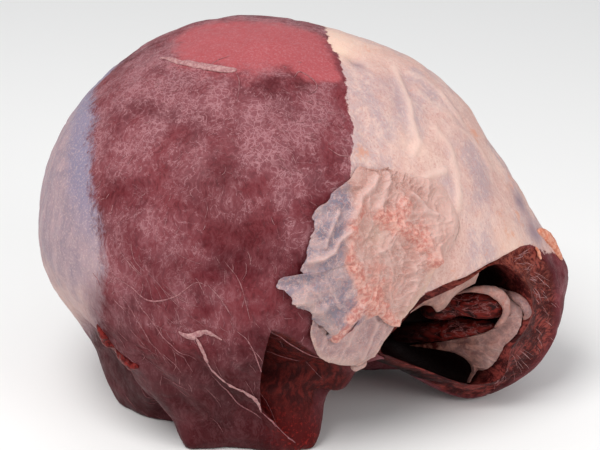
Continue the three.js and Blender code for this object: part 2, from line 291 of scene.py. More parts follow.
def gridFaces(rows, start):
    # quads between neighbouring rings, and triangles from the first and last points
    count, width = rows.shape[:2]
    ids = start + 1 + np.arange((count - 2) * width).reshape(count - 2, width)
    right = np.roll(ids, -1, 1)
    quads = np.stack([ids[:-1], right[:-1], right[1:], ids[1:]], -1).reshape(-1, 4)
    first = np.stack([0 * ids[0] + start, right[0], ids[0]], -1)
    last = np.stack([0 * ids[0] + ids[-1, -1] + 1, ids[-1], right[-1]], -1)
    points = np.concatenate([rows[0, :1], rows[1:-1].reshape(-1, 3), rows[-1, :1]])
    triangles = np.concatenate([first, last, quads[:, :3], quads[:, [0, 2, 3]]]) - start
    a, b, c = (points[triangles[:, n]] - points.mean(0) for n in range(3))
    faces = quads.tolist() + first.tolist() + last.tolist()
    if np.einsum("ij,ij->", a, np.cross(b, c)) < 0:
        faces = [face[::-1] for face in faces]
    return points, faces


def meshFromGrids(name, grids, values):
    # closed grids of rings in one mesh; each grid's first and last rings are single points
    points, faces = [], []
    total = 0
    for rows in grids:
        somePoints, someFaces = gridFaces(rows, total)
        points.append(somePoints)
        faces += someFaces
        total += len(somePoints)
    mesh = bpy.data.meshes.new(name)
    mesh.from_pydata((np.concatenate(points) * metre).tolist(), [], faces)
    mesh.polygons.foreach_set("use_smooth", [True] * len(mesh.polygons))
    for key, parts in (values or {}).items():
        flat = np.concatenate([np.concatenate([v[0, :1], v[1:-1].ravel(), v[-1, :1]]) for v in parts])
        mesh.attributes.new(key, "FLOAT", "POINT").data.foreach_set("value", flat.astype(np.float32))
    mesh.update()
    return mesh


def tubeGrid(path, radius, out, sides, flat=1.0):
    # rings square to a path: the cosine along the outward direction, the sine across it
    tangent = unit(np.gradient(path, axis=0))
    out = unit(out - tangent * (out * tangent).sum(-1, keepdims=True))
    across = np.cross(tangent, out)
    turn = np.arange(sides) / sides * 2 * np.pi
    ring = out[:, None] * (flat * np.cos(turn))[:, None] + across[:, None] * np.sin(turn)[:, None]
    return path[:, None] + radius[:, None, None] * ring


def sheetGrid(place, rows, tops, backs, thickness):
    # rings round a sheet: over its top and back under it; place() gives its middle and its outward direction
    u = np.linspace(0, 1, rows)[:, None] + np.zeros(tops + backs)
    over = np.concatenate([np.linspace(0, 1, tops), np.linspace(1, 0, backs + 2)[1:-1]])
    v = over + 0 * u
    side = np.concatenate([np.ones(tops), -np.ones(backs)])
    points, out = place(u, v)
    half = thickness / 2 * np.clip(np.sin(np.pi * v), 0, 1) ** 0.35 * (
        0.15 + 0.85 * np.sin(np.pi * u) ** 0.3
    )
    return points + out * (side * half)[..., None], u, v


def addPiece(name, grids, material, values=None):
    mesh = meshFromGrids(name, grids, values)
    piece = bpy.data.objects.new(name, mesh)
    bpy.context.scene.collection.objects.link(piece)
    mesh.materials.append(material)
    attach(piece, body)
    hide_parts(node)
    print("made", name, len(mesh.polygons), "faces")


def edges(sheet):
    # both edges of a sheet in the same number of even steps
    return evenly(sheet["held"], sheet["rows"]), evenly(sheet["free"], sheet["rows"])


def addSheet(name, grid, paint, material):
    # a sheet closed at both ends, with its values at each point
    values = {key: [capped(value[..., None])[..., 0]] for key, value in paint.items()}
    addPiece(name, [capped(grid)], material, values)


# Outlines of the silverskin, as directions, each round a middle from which distances are measured
membranes = {
    "right": {
        "middle": (5, 22),
        "outline": [
            (50, 64), (-1, 71), (-24, 65), (-36, 59), (-45, 53), (-50, 45), (-55, 38), (-59, 31),
            (-56, 20), (-60, 6), (-58, -8), (-52, -20), (-44, -18), (-42, -11), (-38.6, -7), (-31, -5),
            (-24, -3), (-17, -3.5), (-13.5, -2.8), (-11, -2.6), (-8.5, -3), (-6, -4.5), (-3, -6), (3, -9),
            (20, -22), (50, -34), (90, -30), (125, -12), (140, 12), (128, 38), (95, 58),
        ],
    },
    "left": {
        "middle": (-172, 12),
        "outline": [
            (165, 48), (176, 39), (-170, 40), (-159, 38), (-150, 32), (-143, 25), (-137, 18), (-134, 12),
            (-131, 5), (-134, -8), (-139, -19), (-156, -25), (-170, -34), (178, -38), (163, -32),
            (155, -10), (152, 15), (158, 38),
        ],
    },
}


def edgeDistance(toward, membrane):
    # azimuthal map round the middle in mm at 100 mm reach, then the signed distance from the outline there
    middle = direction(*membrane["middle"])
    side = np.cross([0, 0, 1.0], middle)
    side /= np.linalg.norm(side)
    up = np.cross(middle, side)

    def onMap(v):
        x, y = v @ side, v @ up
        off = np.arccos(np.clip(v @ middle, -1, 1)) * 100 / np.maximum(np.hypot(x, y), 1e-9)
        return x * off, y * off

    x, y = onMap(toward)
    px, py = onMap(np.stack([direction(*p) for p in membrane["outline"]]))
    nearest = np.full(x.shape, 1e9)
    inside = np.zeros(x.shape, bool)
    for x0, y0, x1, y1 in zip(px, py, np.roll(px, -1), np.roll(py, -1)):
        share = np.clip(((x - x0) * (x1 - x0) + (y - y0) * (y1 - y0))
            / ((x1 - x0) ** 2 + (y1 - y0) ** 2), 0, 1)
        nearest = np.minimum(nearest, np.hypot(x - x0 - share * (x1 - x0), y - y0 - share * (y1 - y0)))
        if y0 != y1:
            crosses = ((y0 > y) != (y1 > y)) & (x < (x1 - x0) * (y - y0) / (y1 - y0) + x0)
            inside ^= crosses
    return np.where(inside, nearest, -nearest)


finish = {
    # azimuth, elevation, spread, strength of each mark on the muscle there: covering tissue, darker and
    # paler muscle, painted shade low down and painted sheen on the top
    # pale tissue over the muscle; the spots high on the dome are partly painted sheen that lightens the top,
    # as light from above would
    "webAndSheen": [
        (-101, 50, 11, 0.25), (-80, 45, 11, 0.5), (-66, 50, 8, 0.35), (-142, 38, 12, 0.15),
        (-150, 54, 14, 0.5), (-127, 3, 9, 0.4), (-110, -3, 7, 0.2), (-58, 32, 8, 0.2), (-122, 14, 8, 0.2),
        (-84, 30, 7, 0.15), (90, 80, 30, 0.3), (120, 30, 60, 0.3), (-88, -8, 8, 0.15),
        (-118, 60, 10, 0.3), (-100, -42, 34, -0.2),
    ],
    # painted shade: the wide low spots darken the lower part of the joint, where little light falls; the
    # small spots higher up are darker patches of muscle
    "dark": [
        (-90, -42, 22, 0.9), (-125, -45, 24, 0.9), (-60, -42, 14, 0.7), (-104, -26, 10, 0.4),
        (-150, -45, 22, 0.8), (-170, -60, 30, 0.7), (60, -60, 40, 0.6), (-98, 22, 10, 0.45),
        (-106, 31, 8, 0.3), (-90, 14, 8, 0.3), (-134, 24, 5, 0.4), (-136, 12, 5, 0.4), (-76, 8, 9, 0.35),
        (-78, -14, 10, 0.4), (-63.5, 60, 2.8, 0.8), (-112, 8, 5, 0.3),
    ],
    # partly painted sheen: the top of the dome made lighter and pinker, as if lit from above; partly pinker
    # muscle
    "roseAndSheen": [
        (-100, 82, 17, 1.0), (-28, 76, 8, 0.7), (178, 74, 8, 0.6), (-46, 66, 5, 0.9),
        (-42, 60.5, 2.5, 0.6), (-145, 70, 7, 0.4),
    ],
    "fatty": [
        (-44, -8, 8, 0.5), (-47, 12, 8, 0.4), (-8, 0, 5, 0.7), (-51, 36, 3.5, 0.9), (-16, 2, 6, 0.3),
        (2, 60, 6, 0.3), (-1, 23, 2.5, 0.9), (-1, 9, 3, 0.8), (-26, 13, 4, 0.3), (60, 20, 30, 0.2),
    ],
    "violet": [(-2, 5, 2.6, 1.0), (-4.5, -1, 2.6, 1.0), (-20, 46, 10, 0.3), (-12, 15, 5, 0.3),
        (-16, 60, 2.2, 0.8)],
    "cream": [(6, 68, 10, 0.7), (-14, 66, 3, 0.8), (-30, 34, 6, 0.3), (70, 50, 25, 0.4), (-14, -1, 5, 0.5)],
    "fresh": [(-78, -47, 5, 1.0), (-70, -50, 4, 0.8), (-84, -41, 2.5, 0.5)],
    "slant": [(-115, -12, 20, 0.8), (-100, -35, 26, 1.0), (-70, -30, 20, 0.6)],
}
lipSpots = [(-24, -6, 9, 0.9), (-12, -3, 7, 0.8), (0, -14, 9, 0.35), (2, -26, 7, 0.45)]  # paler cut meat
evenWeb = 0.25  # pale tissue that lies everywhere
veins = {
    # lines that stand up from the silverskin: corners, width, height
    "lines": [
        ([(-4, 51), (-11, 48), (-17, 43), (-23, 39), (-26, 35), (-27, 33), (-32, 31)], 1.9, 1.0),
        ([(-2, 47), (1, 43), (1, 38), (-2, 33), (-3, 28)], 1.7, 0.8),
        ([(-17, 33), (-17, 27), (-19, 23), (-22, 18), (-26, 13)], 2.2, 0.9),
        ([(-40, 21), (-36, 23), (-32, 24), (-24, 23)], 1.8, 1.2),
        ([(-8, 44), (-9, 36), (-6, 30)], 1.4, 0.5), ([(-9, 30), (-4, 24), (-6, 16)], 1.6, 0.6),
    ],
    "hole": (-14.5, 61, 2.0, -2.5),
}


def hollowWall(turn, share):
    # the mouth's outline shrinks by a power of a cosine on its way in; the floor and roof are creased
    mouth = outerPoint(turn, loopValue(joint["mouthAngles"], turn))
    evenTurns = np.arange(0, 360, 5.0)
    middle = outerPoint(evenTurns, loopValue(joint["mouthAngles"], evenTurns)).mean(0)
    run = np.array(joint["hollowEnd"]) + heart - middle
    slant = ((mouth - middle) @ run / (run @ run))[..., None]
    flat = mouth - middle - slant * run
    swell = 1 + joint["swell"] * np.sin(np.pi * np.minimum(1, share * joint["swellReach"]))
    width = np.clip(np.cos(share * np.pi / 2), 0, 1) ** joint["fullness"] * swell
    depth = np.sin(share * np.pi / 2)
    wall = middle + flat * np.where(share < 1, width, 0)[..., None] + run * (
        slant * (1 - depth[..., None]) + depth[..., None]
    )
    creases = noises(wall * np.array(joint["creaseStretch"]), joint["creases"])
    return wall + hollowUp * (creases * (1 - depth) * ease(0, 0.1, share))[..., None], depth


def cutFace(turn, part, lift=0.0):
    # straight from the mouth to the rim, dished by a sine and rough
    mouth = outerPoint(turn, loopValue(joint["mouthAngles"], turn))
    rim = outerPoint(turn, loopValue(joint["rimAngles"], turn))
    face = mouth + part[..., None] * (rim - mouth)
    bow = np.sin(np.pi * part)
    rough = joint["dish"] * bow - noises(face, joint["cutBumps"]) * bow
    return face - hollowAxis * (rough - lift)[..., None]


def buildJoint(material):
    # rings up the hollow, over the cut face, along the skin to the slit's edge and round to the far side
    hollowRows, cutRows, nearRows, farRows = joint["rows"]
    even = np.arange(joint["columns"]) / joint["columns"] * 2 * np.pi
    gather, gatherTurn = joint["gather"]
    turn = np.degrees(even - gather * np.sin(even - math.radians(gatherTurn))) % 360
    share = 1 - np.arange(hollowRows)[:, None] / hollowRows + 0 * turn
    wall, depth = hollowWall(turn + 0 * share, share)
    part = np.arange(cutRows)[:, None] / cutRows + 0 * turn
    face = cutFace(turn + 0 * part, part)

    edge = slitEdge(turn)
    rimAngle = loopValue(joint["rimAngles"], turn)
    near = np.linspace(0, 1, nearRows)[:, None]
    far = np.linspace(0, 1, farRows + 1)[:, None] ** joint["farPower"]
    angle = np.concatenate([
        rimAngle + near * (edge - joint["slitStep"] - rimAngle), edge + far * (180 - edge),
    ])
    turns = turn + 0 * angle
    toward = roundHollow(turns, angle)
    reach = skinReach(toward)
    standing = ridges(toward, reach, veins["lines"])
    lift = standing + bells(toward, [veins["hole"]])
    skin = onBoard(outerPoint(turns, angle) + toward * lift[..., None])
    rows = np.concatenate([onBoard(wall), onBoard(face), skin])

    slit = slitDepth(turns, angle)

    def whole(values, inside, cut):
        return [np.concatenate([inside + 0 * wall[..., 0], cut + 0 * face[..., 0], values])]

    values = {
        "lip": whole(0 * slit, 0, np.clip(bells(unit(face - heart), lipSpots), 0, 1)),
        "rightSkin": whole(edgeDistance(toward, membranes["right"]), -30, -6),
        "leftSkin": whole(edgeDistance(toward, membranes["left"]), -30, -30),
        "cutMeat": whole(ease(0.0, 0.05, slit), 1, ease(0, 0.15, 1 - part)),
        # painted shade: how far the colour goes to near black deep in the slit, inside the hollow and by the
        # mouth
        "deepMeat": whole(ease(0.3, 1.0, slit) * 0.9, ease(0, 0.3, depth), 0.25 * (1 - part)),
        "vein": whole(np.clip(standing, 0, 1), 0, 0),
    }
    for name, spots in finish.items():
        values[name] = whole(np.clip(bells(toward, spots) + (evenWeb if name == "webAndSheen" else 0), 0, 1), 0, 0)
    addPiece("joint", [rows], material, values)


flap = {
    # free edge from its top round to the hollow, and the line where it grows out of the silverskin
    "free": [
        (-45, 30.6), (-50, 30.7), (-55, 33), (-59, 30.5), (-62, 29.4), (-66, 27.8), (-68, 25.5),
        (-72.7, 23.6), (-74, 18), (-75.6, 13), (-78, 8.8), (-78, 6.8), (-82.7, 7), (-83.3, 4),
        (-81.2, -0.4), (-77, -3), (-75, -6), (-71.5, -10.5), (-68, -15), (-64, -14), (-61.5, -11.5),
        (-59, -9.5), (-55, -9), (-50.5, -13.5), (-46.4, -15.8),
    ],
    "held": [
        (-43, 29.5), (-36, 26), (-27, 21.4), (-25.5, 15.5), (-26, 9), (-30.5, 4), (-36.9, 1.7),
        (-38.4, -1.6), (-40.1, -5.7), (-42.9, -11.3), (-45.8, -15.2),
    ],
    "lipFrom": (0.6, 0.72),  # shares of its length over which the held line turns into the hollow's lip
    "thickness": 1.3,
    "rows": 330,
    "across": (190, 24),
    "ragged": (1.1, 0.35),  # degrees of slow and quick wander of the free edge
    "ridges": [
        ([(-65.7, 22), (-67.6, 19.8), (-70, 15.8), (-70.8, 13.4)], 1.1, 1.3),
        ([(-50.4, 29), (-52, 27.4), (-57.3, 25), (-60, 22), (-62, 19.5)], 1.6, 1.9),
        ([(-63, 16.4), (-66.8, 14.5), (-68.5, 12), (-72, 10.6), (-76, 10.5)], 1.3, 2.0),
        ([(-45.5, 29), (-48, 25), (-52, 21)], 1.6, 1.4), ([(-78, 5), (-74, 2), (-71, -3)], 1.4, 1.0),
        ([(-72, 8), (-70, 2), (-67, -4)], 1.2, 0.9),
        ([(-39.9, 21.8), (-38.6, 19.7), (-36.9, 16.6), (-34.6, 14.5)], 1.2, 1.6),
        ([(-43, 17), (-38, 16), (-33, 13)], 1.4, 1.1),
        ([(-56, 12), (-52, 8), (-50, 2), (-51, -5)], 1.3, 1.0),
        ([(-48, 10), (-44, 4), (-43, -3), (-45, -10)], 1.3, 1.1),
    ],
    "pink": ([(-58.5, 22), (-61.7, 16), (-63.4, 9.7), (-62.6, 6.4), (-60.7, 2.5), (-58.6, -1.6),
        (-56, -5.8)], 2.4, 1.3),
    "peach": ([(-52, 19.2), (-49.7, 17.3), (-47.3, 14.2), (-44, 12.2), (-40.7, 9.6), (-38, 5.6),
        (-37, 1.7)], 2.4, 2.4),
    "rope": ([(-67, -15.5), (-66, -12.5), (-62, -8), (-59.3, -5.6), (-55.8, -6.8), (-51.7, -10.6),
        (-48, -14)], 3.2, 2.2),
    "cream": ([(-37, 1.7), (-38.4, -1.6), (-40.1, -5.7), (-43, -11.3), (-46.4, -15.4)], 3.0, 1.0),
    "hem": ([(-80.9, -0.2), (-77.6, 0), (-74.2, -2.8), (-70.4, -7.6), (-67.8, -11.5)], 2.6, 2.6),
    "spots": [(-43.5, 19.5, 2.6, 2.6), (-46, 17, 2.2, 1.0), (-54, 14, 3.2, -2.0), (-44, 8, 2.5, -1.2),
        (-30, 9, 3, 0.8)],
    "wrinkles": [(10, 0.9, 41), (5.0, 0.8, 42), (2.6, 0.5, 43), (1.5, 0.25, 40)],  # size, height, seed
    "ropeLumps": [(2.2, 0.35, 44), (4, 0.2, 45)],
    "lift": 0.9,
    "sunk": 1.6,
    "rise": (1.2, 1.6),  # of the free edge: even and wavy
    "wave": 9.0,  # rows to a slow wave of the free edge
    "peachSpots": [
        (-43.5, 19.5, 3, 1.0), (-40, 12, 5, 0.4), (-28, 9, 3, 0.8), (-34, 3, 4, 0.6), (-54, -3, 7, 0.55),
        (-50, 8, 8, 0.2), (-60, 4, 4, 0.3),
    ],
    "creamSpots": [(-54, 14, 3, 0.6)],
    "warp": (8, 3.0),  # size and amount in mm of the noise that bends the wrinkles
}


def flapHeight(toward, reach, u, v):
    # bells along its ridges and cords, plus ridged noise that fades towards the free edge
    points = toward * reach[..., None]
    folds = ridges(toward, reach, flap["ridges"])
    cords = ridges(toward, reach, [flap[key] for key in ("pink", "peach", "cream", "hem")])
    rope = ridges(toward, reach, [flap["rope"]]) * (1 + noises(points, flap["ropeLumps"]))
    loose = 1 - 0.55 * ease(0.55, 0.8, v)
    size, amount = flap["warp"]
    bent = points + amount * np.stack([smoothNoise(points, size, seed) for seed in (91, 92, 93)], -1)
    wrinkles = sum(height * ridged(bent, size, seed) for size, height, seed in flap["wrinkles"]) * loose
    return (
        folds + cords + rope + wrinkles * ease(0, 0.15, v) + bells(toward, flap["spots"]),
        folds + wrinkles,
    )


def buildFlap(material):
    held, free = edges(flap)
    steps = np.arange(flap["rows"]) / flap["wave"]
    slow = smoothNoise(np.stack([steps, 0 * steps, 0 * steps], -1), 1, 46)
    quick = smoothNoise(np.stack([steps * 4, 0 * steps, 0 * steps], -1), 1, 47)
    wander = flap["ragged"][0] * slow + flap["ragged"][1] * quick
    wander = wander * np.sin(np.linspace(0, np.pi, flap["rows"]))
    saved = {}

    def place(u, v):
        # straight across between the two edges in degrees, lifted off the skin
        degrees = held[:, None] + v[..., None] * (free - held)[:, None]
        degrees = degrees + (wander[:, None] * v ** 3)[..., None] * np.array([1.0, 0.4])
        toward = direction(degrees[..., 0], degrees[..., 1])
        reach = skinReach(toward)
        height, folds = flapHeight(toward, reach, u, v)
        lip = ease(*flap["lipFrom"], u)
        sunk = -flap["sunk"] * (1 - ease(0, 0.09, v)) * (1 - lip)
        even, wavy = flap["rise"]
        rise = (even + wavy * slow[:, None]) * ease(0.7, 1, v) * (1 - ease(0.75, 0.9, u))
        saved.update(toward=toward, reach=reach, folds=folds)
        return skinPoint(toward, flap["lift"] + sunk + height + rise), toward

    grid, u, v = sheetGrid(place, flap["rows"], *flap["across"], flap["thickness"])
    toward, reach = saved["toward"], saved["reach"]
    pinkLine = np.array(flap["pink"][0])
    order = np.argsort(pinkLine[:, 1])
    azimuth = np.degrees(np.arctan2(toward[..., 1], toward[..., 0]))
    elevation = np.degrees(np.arcsin(toward[..., 2]))
    past = np.interp(elevation, pinkLine[order, 1], pinkLine[order, 0]) - azimuth

    def fatty(spots, *lines):
        # bells along its cords, of another width, and round some spots
        along = ridges(toward, reach, [(flap[key][0], width, share) for key, width, share in lines])
        return np.clip(along + bells(toward, flap[spots]), 0, 1)

    paint = {
        "loose": ease(0.5, 4, past),
        "vein": np.clip(saved["folds"] / 1.6 - 0.35, 0, 1),
        "peach": fatty("peachSpots", ("pink", 4.0, 0.7), ("peach", 4.0, 1), ("rope", 4.0, 1.2)),
        "cream": fatty("creamSpots", ("cream", 3.2, 1), ("hem", 3.0, 0.35)),
        "blood": 0 * v,
        "lying": 1 - ease(0.04, 0.3, v + 0.35 * ease(0.55, 0.7, u)),
    }
    addSheet("tornFlap", grid, paint, material)


lobe = {
    # the pale lobe that hangs from under the flap's fat cord
    "held": [(-72.5, -5.5), (-69, -10), (-66, -12.5), (-62, -9), (-58, -7), (-54, -8), (-50, -12),
        (-47, -14.6)],
    "free": [
        (-74.6, -6.3), (-75.2, -9.5), (-74.8, -12.7), (-71.4, -20.5), (-64.4, -26), (-58, -28.5),
        (-52.7, -29.1), (-48.8, -26.9), (-48, -21), (-46.4, -15.4),
    ],
    "ridges": [
        ([(-52.5, -14), (-53.5, -20), (-55, -26)], 1.3, 1.2), ([(-49.5, -15), (-50.5, -24)], 1.2, 0.9),
        ([(-60, -13), (-62.5, -19), (-64, -24)], 1.4, 0.8), ([(-70, -12), (-71, -18)], 1.3, 0.7),
    ],
    "hang": (-0.3, 2.4, 1.4),  # lift at the held edge, more at the free one, and the power between
    "wrinkles": (5, 0.8, 48),  # size, height, seed
    "thickness": 1.2,
    "rows": 150,
    "across": (60, 14),
}


def buildLobe(material):
    held, free = edges(lobe)
    saved = {}

    def place(u, v):
        # straight across in degrees, hanging out further towards the free edge
        degrees = held[:, None] + v[..., None] * (free - held)[:, None]
        toward = direction(degrees[..., 0], degrees[..., 1])
        reach = skinReach(toward)
        folds = ridges(toward, reach, lobe["ridges"])
        size, height, seed = lobe["wrinkles"]
        wrinkles = height * ridged(toward * reach[..., None], size, seed)
        saved.update(folds=folds, wrinkles=wrinkles)
        start, more, power = lobe["hang"]
        return skinPoint(toward, start + more * v ** power + folds + wrinkles), toward

    grid, u, v = sheetGrid(place, lobe["rows"], *lobe["across"], lobe["thickness"])
    paint = {
        "loose": 0.55 + 0 * v, "vein": np.clip(saved["folds"] + saved["wrinkles"] * 0.6 - 0.3, 0, 1),
        "peach": 0 * v, "cream": 0.45 * ease(0.75, 1, v), "blood": 0 * v,
    }
    addSheet("hangingLobe", grid, paint, material)


fan = {
    # membrane spread inside the hollow, points from the heart
    "held": [
        (119, -20.5, -27.5), (123, -24.5, -28), (126.6, -28.3, -30.6), (129.3, -32, -33.8),
        (129.2, -34.4, -38.7), (127.7, -36.6, -43.1), (124.7, -38.4, -47), (120.5, -38, -51.5),
        (118.6, -35, -58.6), (116.2, -31.2, -64.8), (112.3, -27, -70.2), (109.1, -24, -72.3),
        (105.2, -25, -78),
    ],
    "free": [
        (117, -29, -27.5), (120.5, -31, -31), (121, -33, -35), (119.5, -34.5, -39), (116.5, -34.5, -43),
        (112.5, -33.5, -46.5), (107.5, -31, -49.5), (100.5, -26.5, -52.8), (90.5, -18.5, -58.5),
        (75.5, -10, -64.8), (89.5, -15.5, -63), (98, -20, -64), (103.5, -22.8, -66.5),
        (106.3, -23, -71.9), (103.8, -24.5, -78.4),
    ],
    "thickness": 1.0,
    "rows": 150,
    "across": (80, 14),
    "bow": 1.5,
    "folds": ((0.35, 1, 1), 3.5, 0.9),  # stretch of the folds' noise, its size and height
    "paint": {"loose": 0.35, "peach": 0.0, "cream": 0.1},
    "bloody": (0.95, 0.35, 88, 122),  # from its root to its edge, between these distances along the joint
}
fatEdge = {
    # wavy pale edge that hangs inside the lip
    "held": [(69.5, -64, -20), (75, -61.5, -16.5), (81.5, -59, -12.5), (91, -55, -9.5), (101, -50, -7.5),
        (106, -47, -6.5)],
    "free": [
        (71, -55, -27.5), (75, -54, -25), (79, -53, -23), (83, -51.5, -24), (86, -50.5, -27.5),
        (90, -48, -26.5), (93, -46, -23), (95, -43.5, -22), (99, -41, -20), (105, -36, -19),
    ],
    "thickness": 2.0,
    "rows": 110,
    "across": (18, 10),
    "bow": 0.8,
    "folds": ((1, 1, 1), 3.0, 0.5),
    "paint": {"loose": 0.1, "peach": 0.3, "cream": 0.35},
    "bloody": (0.5, 0.35, 70, 110),
}
mottle = (7, 0.25, 53)  # size, amount and seed of the blood's blotches


def buildInnerSheet(name, sheet, out, material):
    held, free = (edge + heart for edge in edges(sheet))
    saved = {}

    def place(u, v):
        # straight across between the two edges, bowed out and wrinkled
        points = held[:, None] + v[..., None] * (free - held)[:, None]
        stretch, size, height = sheet["folds"]
        folds = ridged(points * np.array(stretch), size, 51) * height
        root, edge, first, last = sheet["bloody"]
        size, amount, seed = mottle
        bloody = root + (edge - root) * ease(first, last, points[..., 0] - heart[0])
        bloody = bloody + amount * smoothNoise(points, size, seed)
        saved.update(folds=folds / height, bloody=np.clip(bloody, 0, 1))
        lift = sheet["bow"] * np.sin(np.pi * v) + folds - 0.5
        return points + out * lift[..., None], out + 0 * points

    grid, u, v = sheetGrid(place, sheet["rows"], *sheet["across"], sheet["thickness"])
    shown = {key: value + 0 * v for key, value in sheet["paint"].items()}
    shown["vein"] = np.clip(saved["folds"] - 0.45, 0, 1)
    shown["blood"] = saved["bloody"]
    addSheet(name, grid, shown, material)


# Cords and lumps: points from the heart in mm (or directions, lying on the skin), and radii along them
cords = {
    "rolledMuscle": {
        "path": [(80, -20, -40), (90, -24, -37), (97, -26, -34), (104, -28, -33), (111, -29, -33),
            (118, -27, -34), (126, -22, -36)],
        "radii": [5, 6, 6.5, 7, 7.5, 6.5, 5], "lumps": (4, 0.7), "kind": "meat",
    },
    "innerMuscle": {
        "path": [(66, -8, -59), (76, -11, -57), (87, -15, -54), (98, -20, -50), (108, -25, -48),
            (116, -29, -44)],
        "radii": [5, 5.5, 5.5, 5.5, 5, 4], "lumps": (3.5, 0.9), "kind": "meat",
    },
    "rolledEdge": {
        "path": [(96, -31, -27), (101, -33, -24), (106, -34.5, -22.5), (112, -34.5, -23), (117, -33, -26),
            (120.5, -33, -30.5), (121, -34.5, -35), (119, -35.5, -39), (115.5, -35, -43)],
        "radii": [0.5, 1.0, 1.5, 2.2, 3.0, 2.8, 2.0, 1.7, 1.0], "lumps": (2.5, 0.4), "kind": "membrane",
        "paint": {"loose": 0.15, "vein": 0.2, "peach": 0.4, "cream": 0.1,
            "blood": [0.95, 0.7, 0.5, 0.35, 0.25, 0.3, 0.5, 0.7]},
    },
    "secondFold": {
        "path": [(121, -26, -27.5), (125, -29, -28.5), (128.4, -31.5, -30.2), (131, -34, -33),
            (131.5, -35, -36), (129.5, -35, -38.5)],
        "radii": [0.8, 1.8, 2.4, 2.4, 2.0, 1.0], "lumps": (2.5, 0.4), "kind": "membrane",
        "paint": {"loose": 0.6, "vein": 0.1, "peach": 0.0, "cream": 0.0, "blood": [0.9, 0.6, 0.5, 0.7]},
    },
    "redLump": {
        "path": [(-138.5, -14.5), (-137.6, -17.5), (-137.3, -20.5), (-135.5, -23.5), (-131, -26),
            (-127, -25.5)],
        "radii": [1.2, 2.9, 3.2, 3.0, 3.2, 1.8], "lumps": (2.6, 0.9), "kind": "fresh",
    },
    "lipFat": {
        "path": [(-7.2, -3.2), (-6.9, -4.4), (-7.4, -5.6)], "radii": [0.8, 1.2, 0.9], "lumps": (2, 0.2),
        "kind": "fat",
    },
    "cornerFat": {
        "path": [(-2.5, -1.5), (-0.5, -3.0), (0.6, -5.5), (0.8, -8.5)],
        "radii": [1.6, 3.4, 3.2, 1.6], "lumps": (3, 0.5), "kind": "fat",
    },
    "tornTab": {
        "path": [(-54.5, -28), (-53.5, -31), (-52, -33)], "radii": [3.0, 4.4, 2.8], "lumps": (4, 0.6),
        "kind": "membrane",
    },
    "fasciaStrip": {
        "path": [(-161, 61), (-155, 62.6), (-145, 63.8), (-133, 65), (-119, 66), (-104, 66.8)],
        "radii": [0.8, 1.4, 1.9, 2.1, 2.2, 2.1], "lumps": (2.5, 0.5), "kind": "fibre", "flat": 0.4,
    },
    "fasciaTongue": {
        "path": [(-110.7, -9.7), (-107.6, -11), (-103.5, -9.6), (-99.1, -11.5)],
        "radii": [0.8, 1.7, 1.1, 0.5], "lumps": (1.6, 0.6), "kind": "fibre", "flat": 0.45,
    },
    "fasciaCord": {
        "path": [(-106.5, -10.5), (-104.6, -15.8), (-103.3, -21.6), (-100.4, -26.3), (-94.5, -31.7),
            (-90.5, -36.4), (-88.8, -41)],
        "radii": [0.9, 0.8, 0.5, 0.5, 0.7, 1.1, 0.5], "lumps": (1.6, 0.5), "kind": "fibre", "flat": 0.45,
    },
}


def onSkin(toward, lift):
    # the outside in a direction, slit and relief included, plus a lift
    angle = np.degrees(np.arccos(np.clip(toward @ hollowAxis, -1, 1)))
    turn = np.degrees(np.arctan2(toward @ hollowUp, toward @ hollowSide)) % 360
    return outerPoint(turn, angle) + toward * lift


cordForm = {
    "grid": (60, 28),  # rings along a cord and points round it
    "lift": 0.25,
    "out": (0.3, -0.8, 0.5),  # outward direction of the cords inside the hollow
    "ends": (8, 0.96),  # power and share by which the radius falls towards both ends
    "seed": 61,
    "lumpEnds": 0.5,  # power by which the lumps fall there
}
plainPaint = {"loose": 0.35, "vein": 0.2, "peach": 0.15, "cream": 0.3, "blood": 0.1}


def buildCord(name, cord, material):
    # a tube along the curve, its rings swollen and dented by a noise, rounded off at both ends
    steps, sides = cordForm["grid"]
    path = evenly(cord["path"], steps)
    if len(cord["path"][0]) == 2:
        out = direction(path[:, 0], path[:, 1])
        path = onSkin(out, cordForm["lift"])
    else:
        path = path + heart
        out = np.array(cordForm["out"]) + 0 * path
    share = np.linspace(0, 1, steps)
    radius = np.interp(share, np.linspace(0, 1, len(cord["radii"])), cord["radii"])
    power, fall = cordForm["ends"]
    radius = radius * np.sqrt(1 - (2 * share - 1) ** power * fall)
    grid = tubeGrid(path, radius, out, sides, cord.get("flat", 0.8))
    size, height = cord["lumps"]
    away = grid - path[:, None]
    away /= np.linalg.norm(away, axis=-1, keepdims=True) + 1e-9
    lumps = height * smoothNoise(grid, size, cordForm["seed"])
    grid = grid + away * (lumps * np.sin(np.pi * share)[:, None] ** cordForm["lumpEnds"])[..., None]
    paint = {}
    for key, level in cord.get("paint", plainPaint).items():
        along = np.interp(share, np.linspace(0, 1, np.size(level)), np.atleast_1d(level))
        paint[key] = [capped(0 * grid[..., :1] + along[:, None, None])[..., 0]]
    addPiece(name, [capped(onBoard(grid))], material, paint)


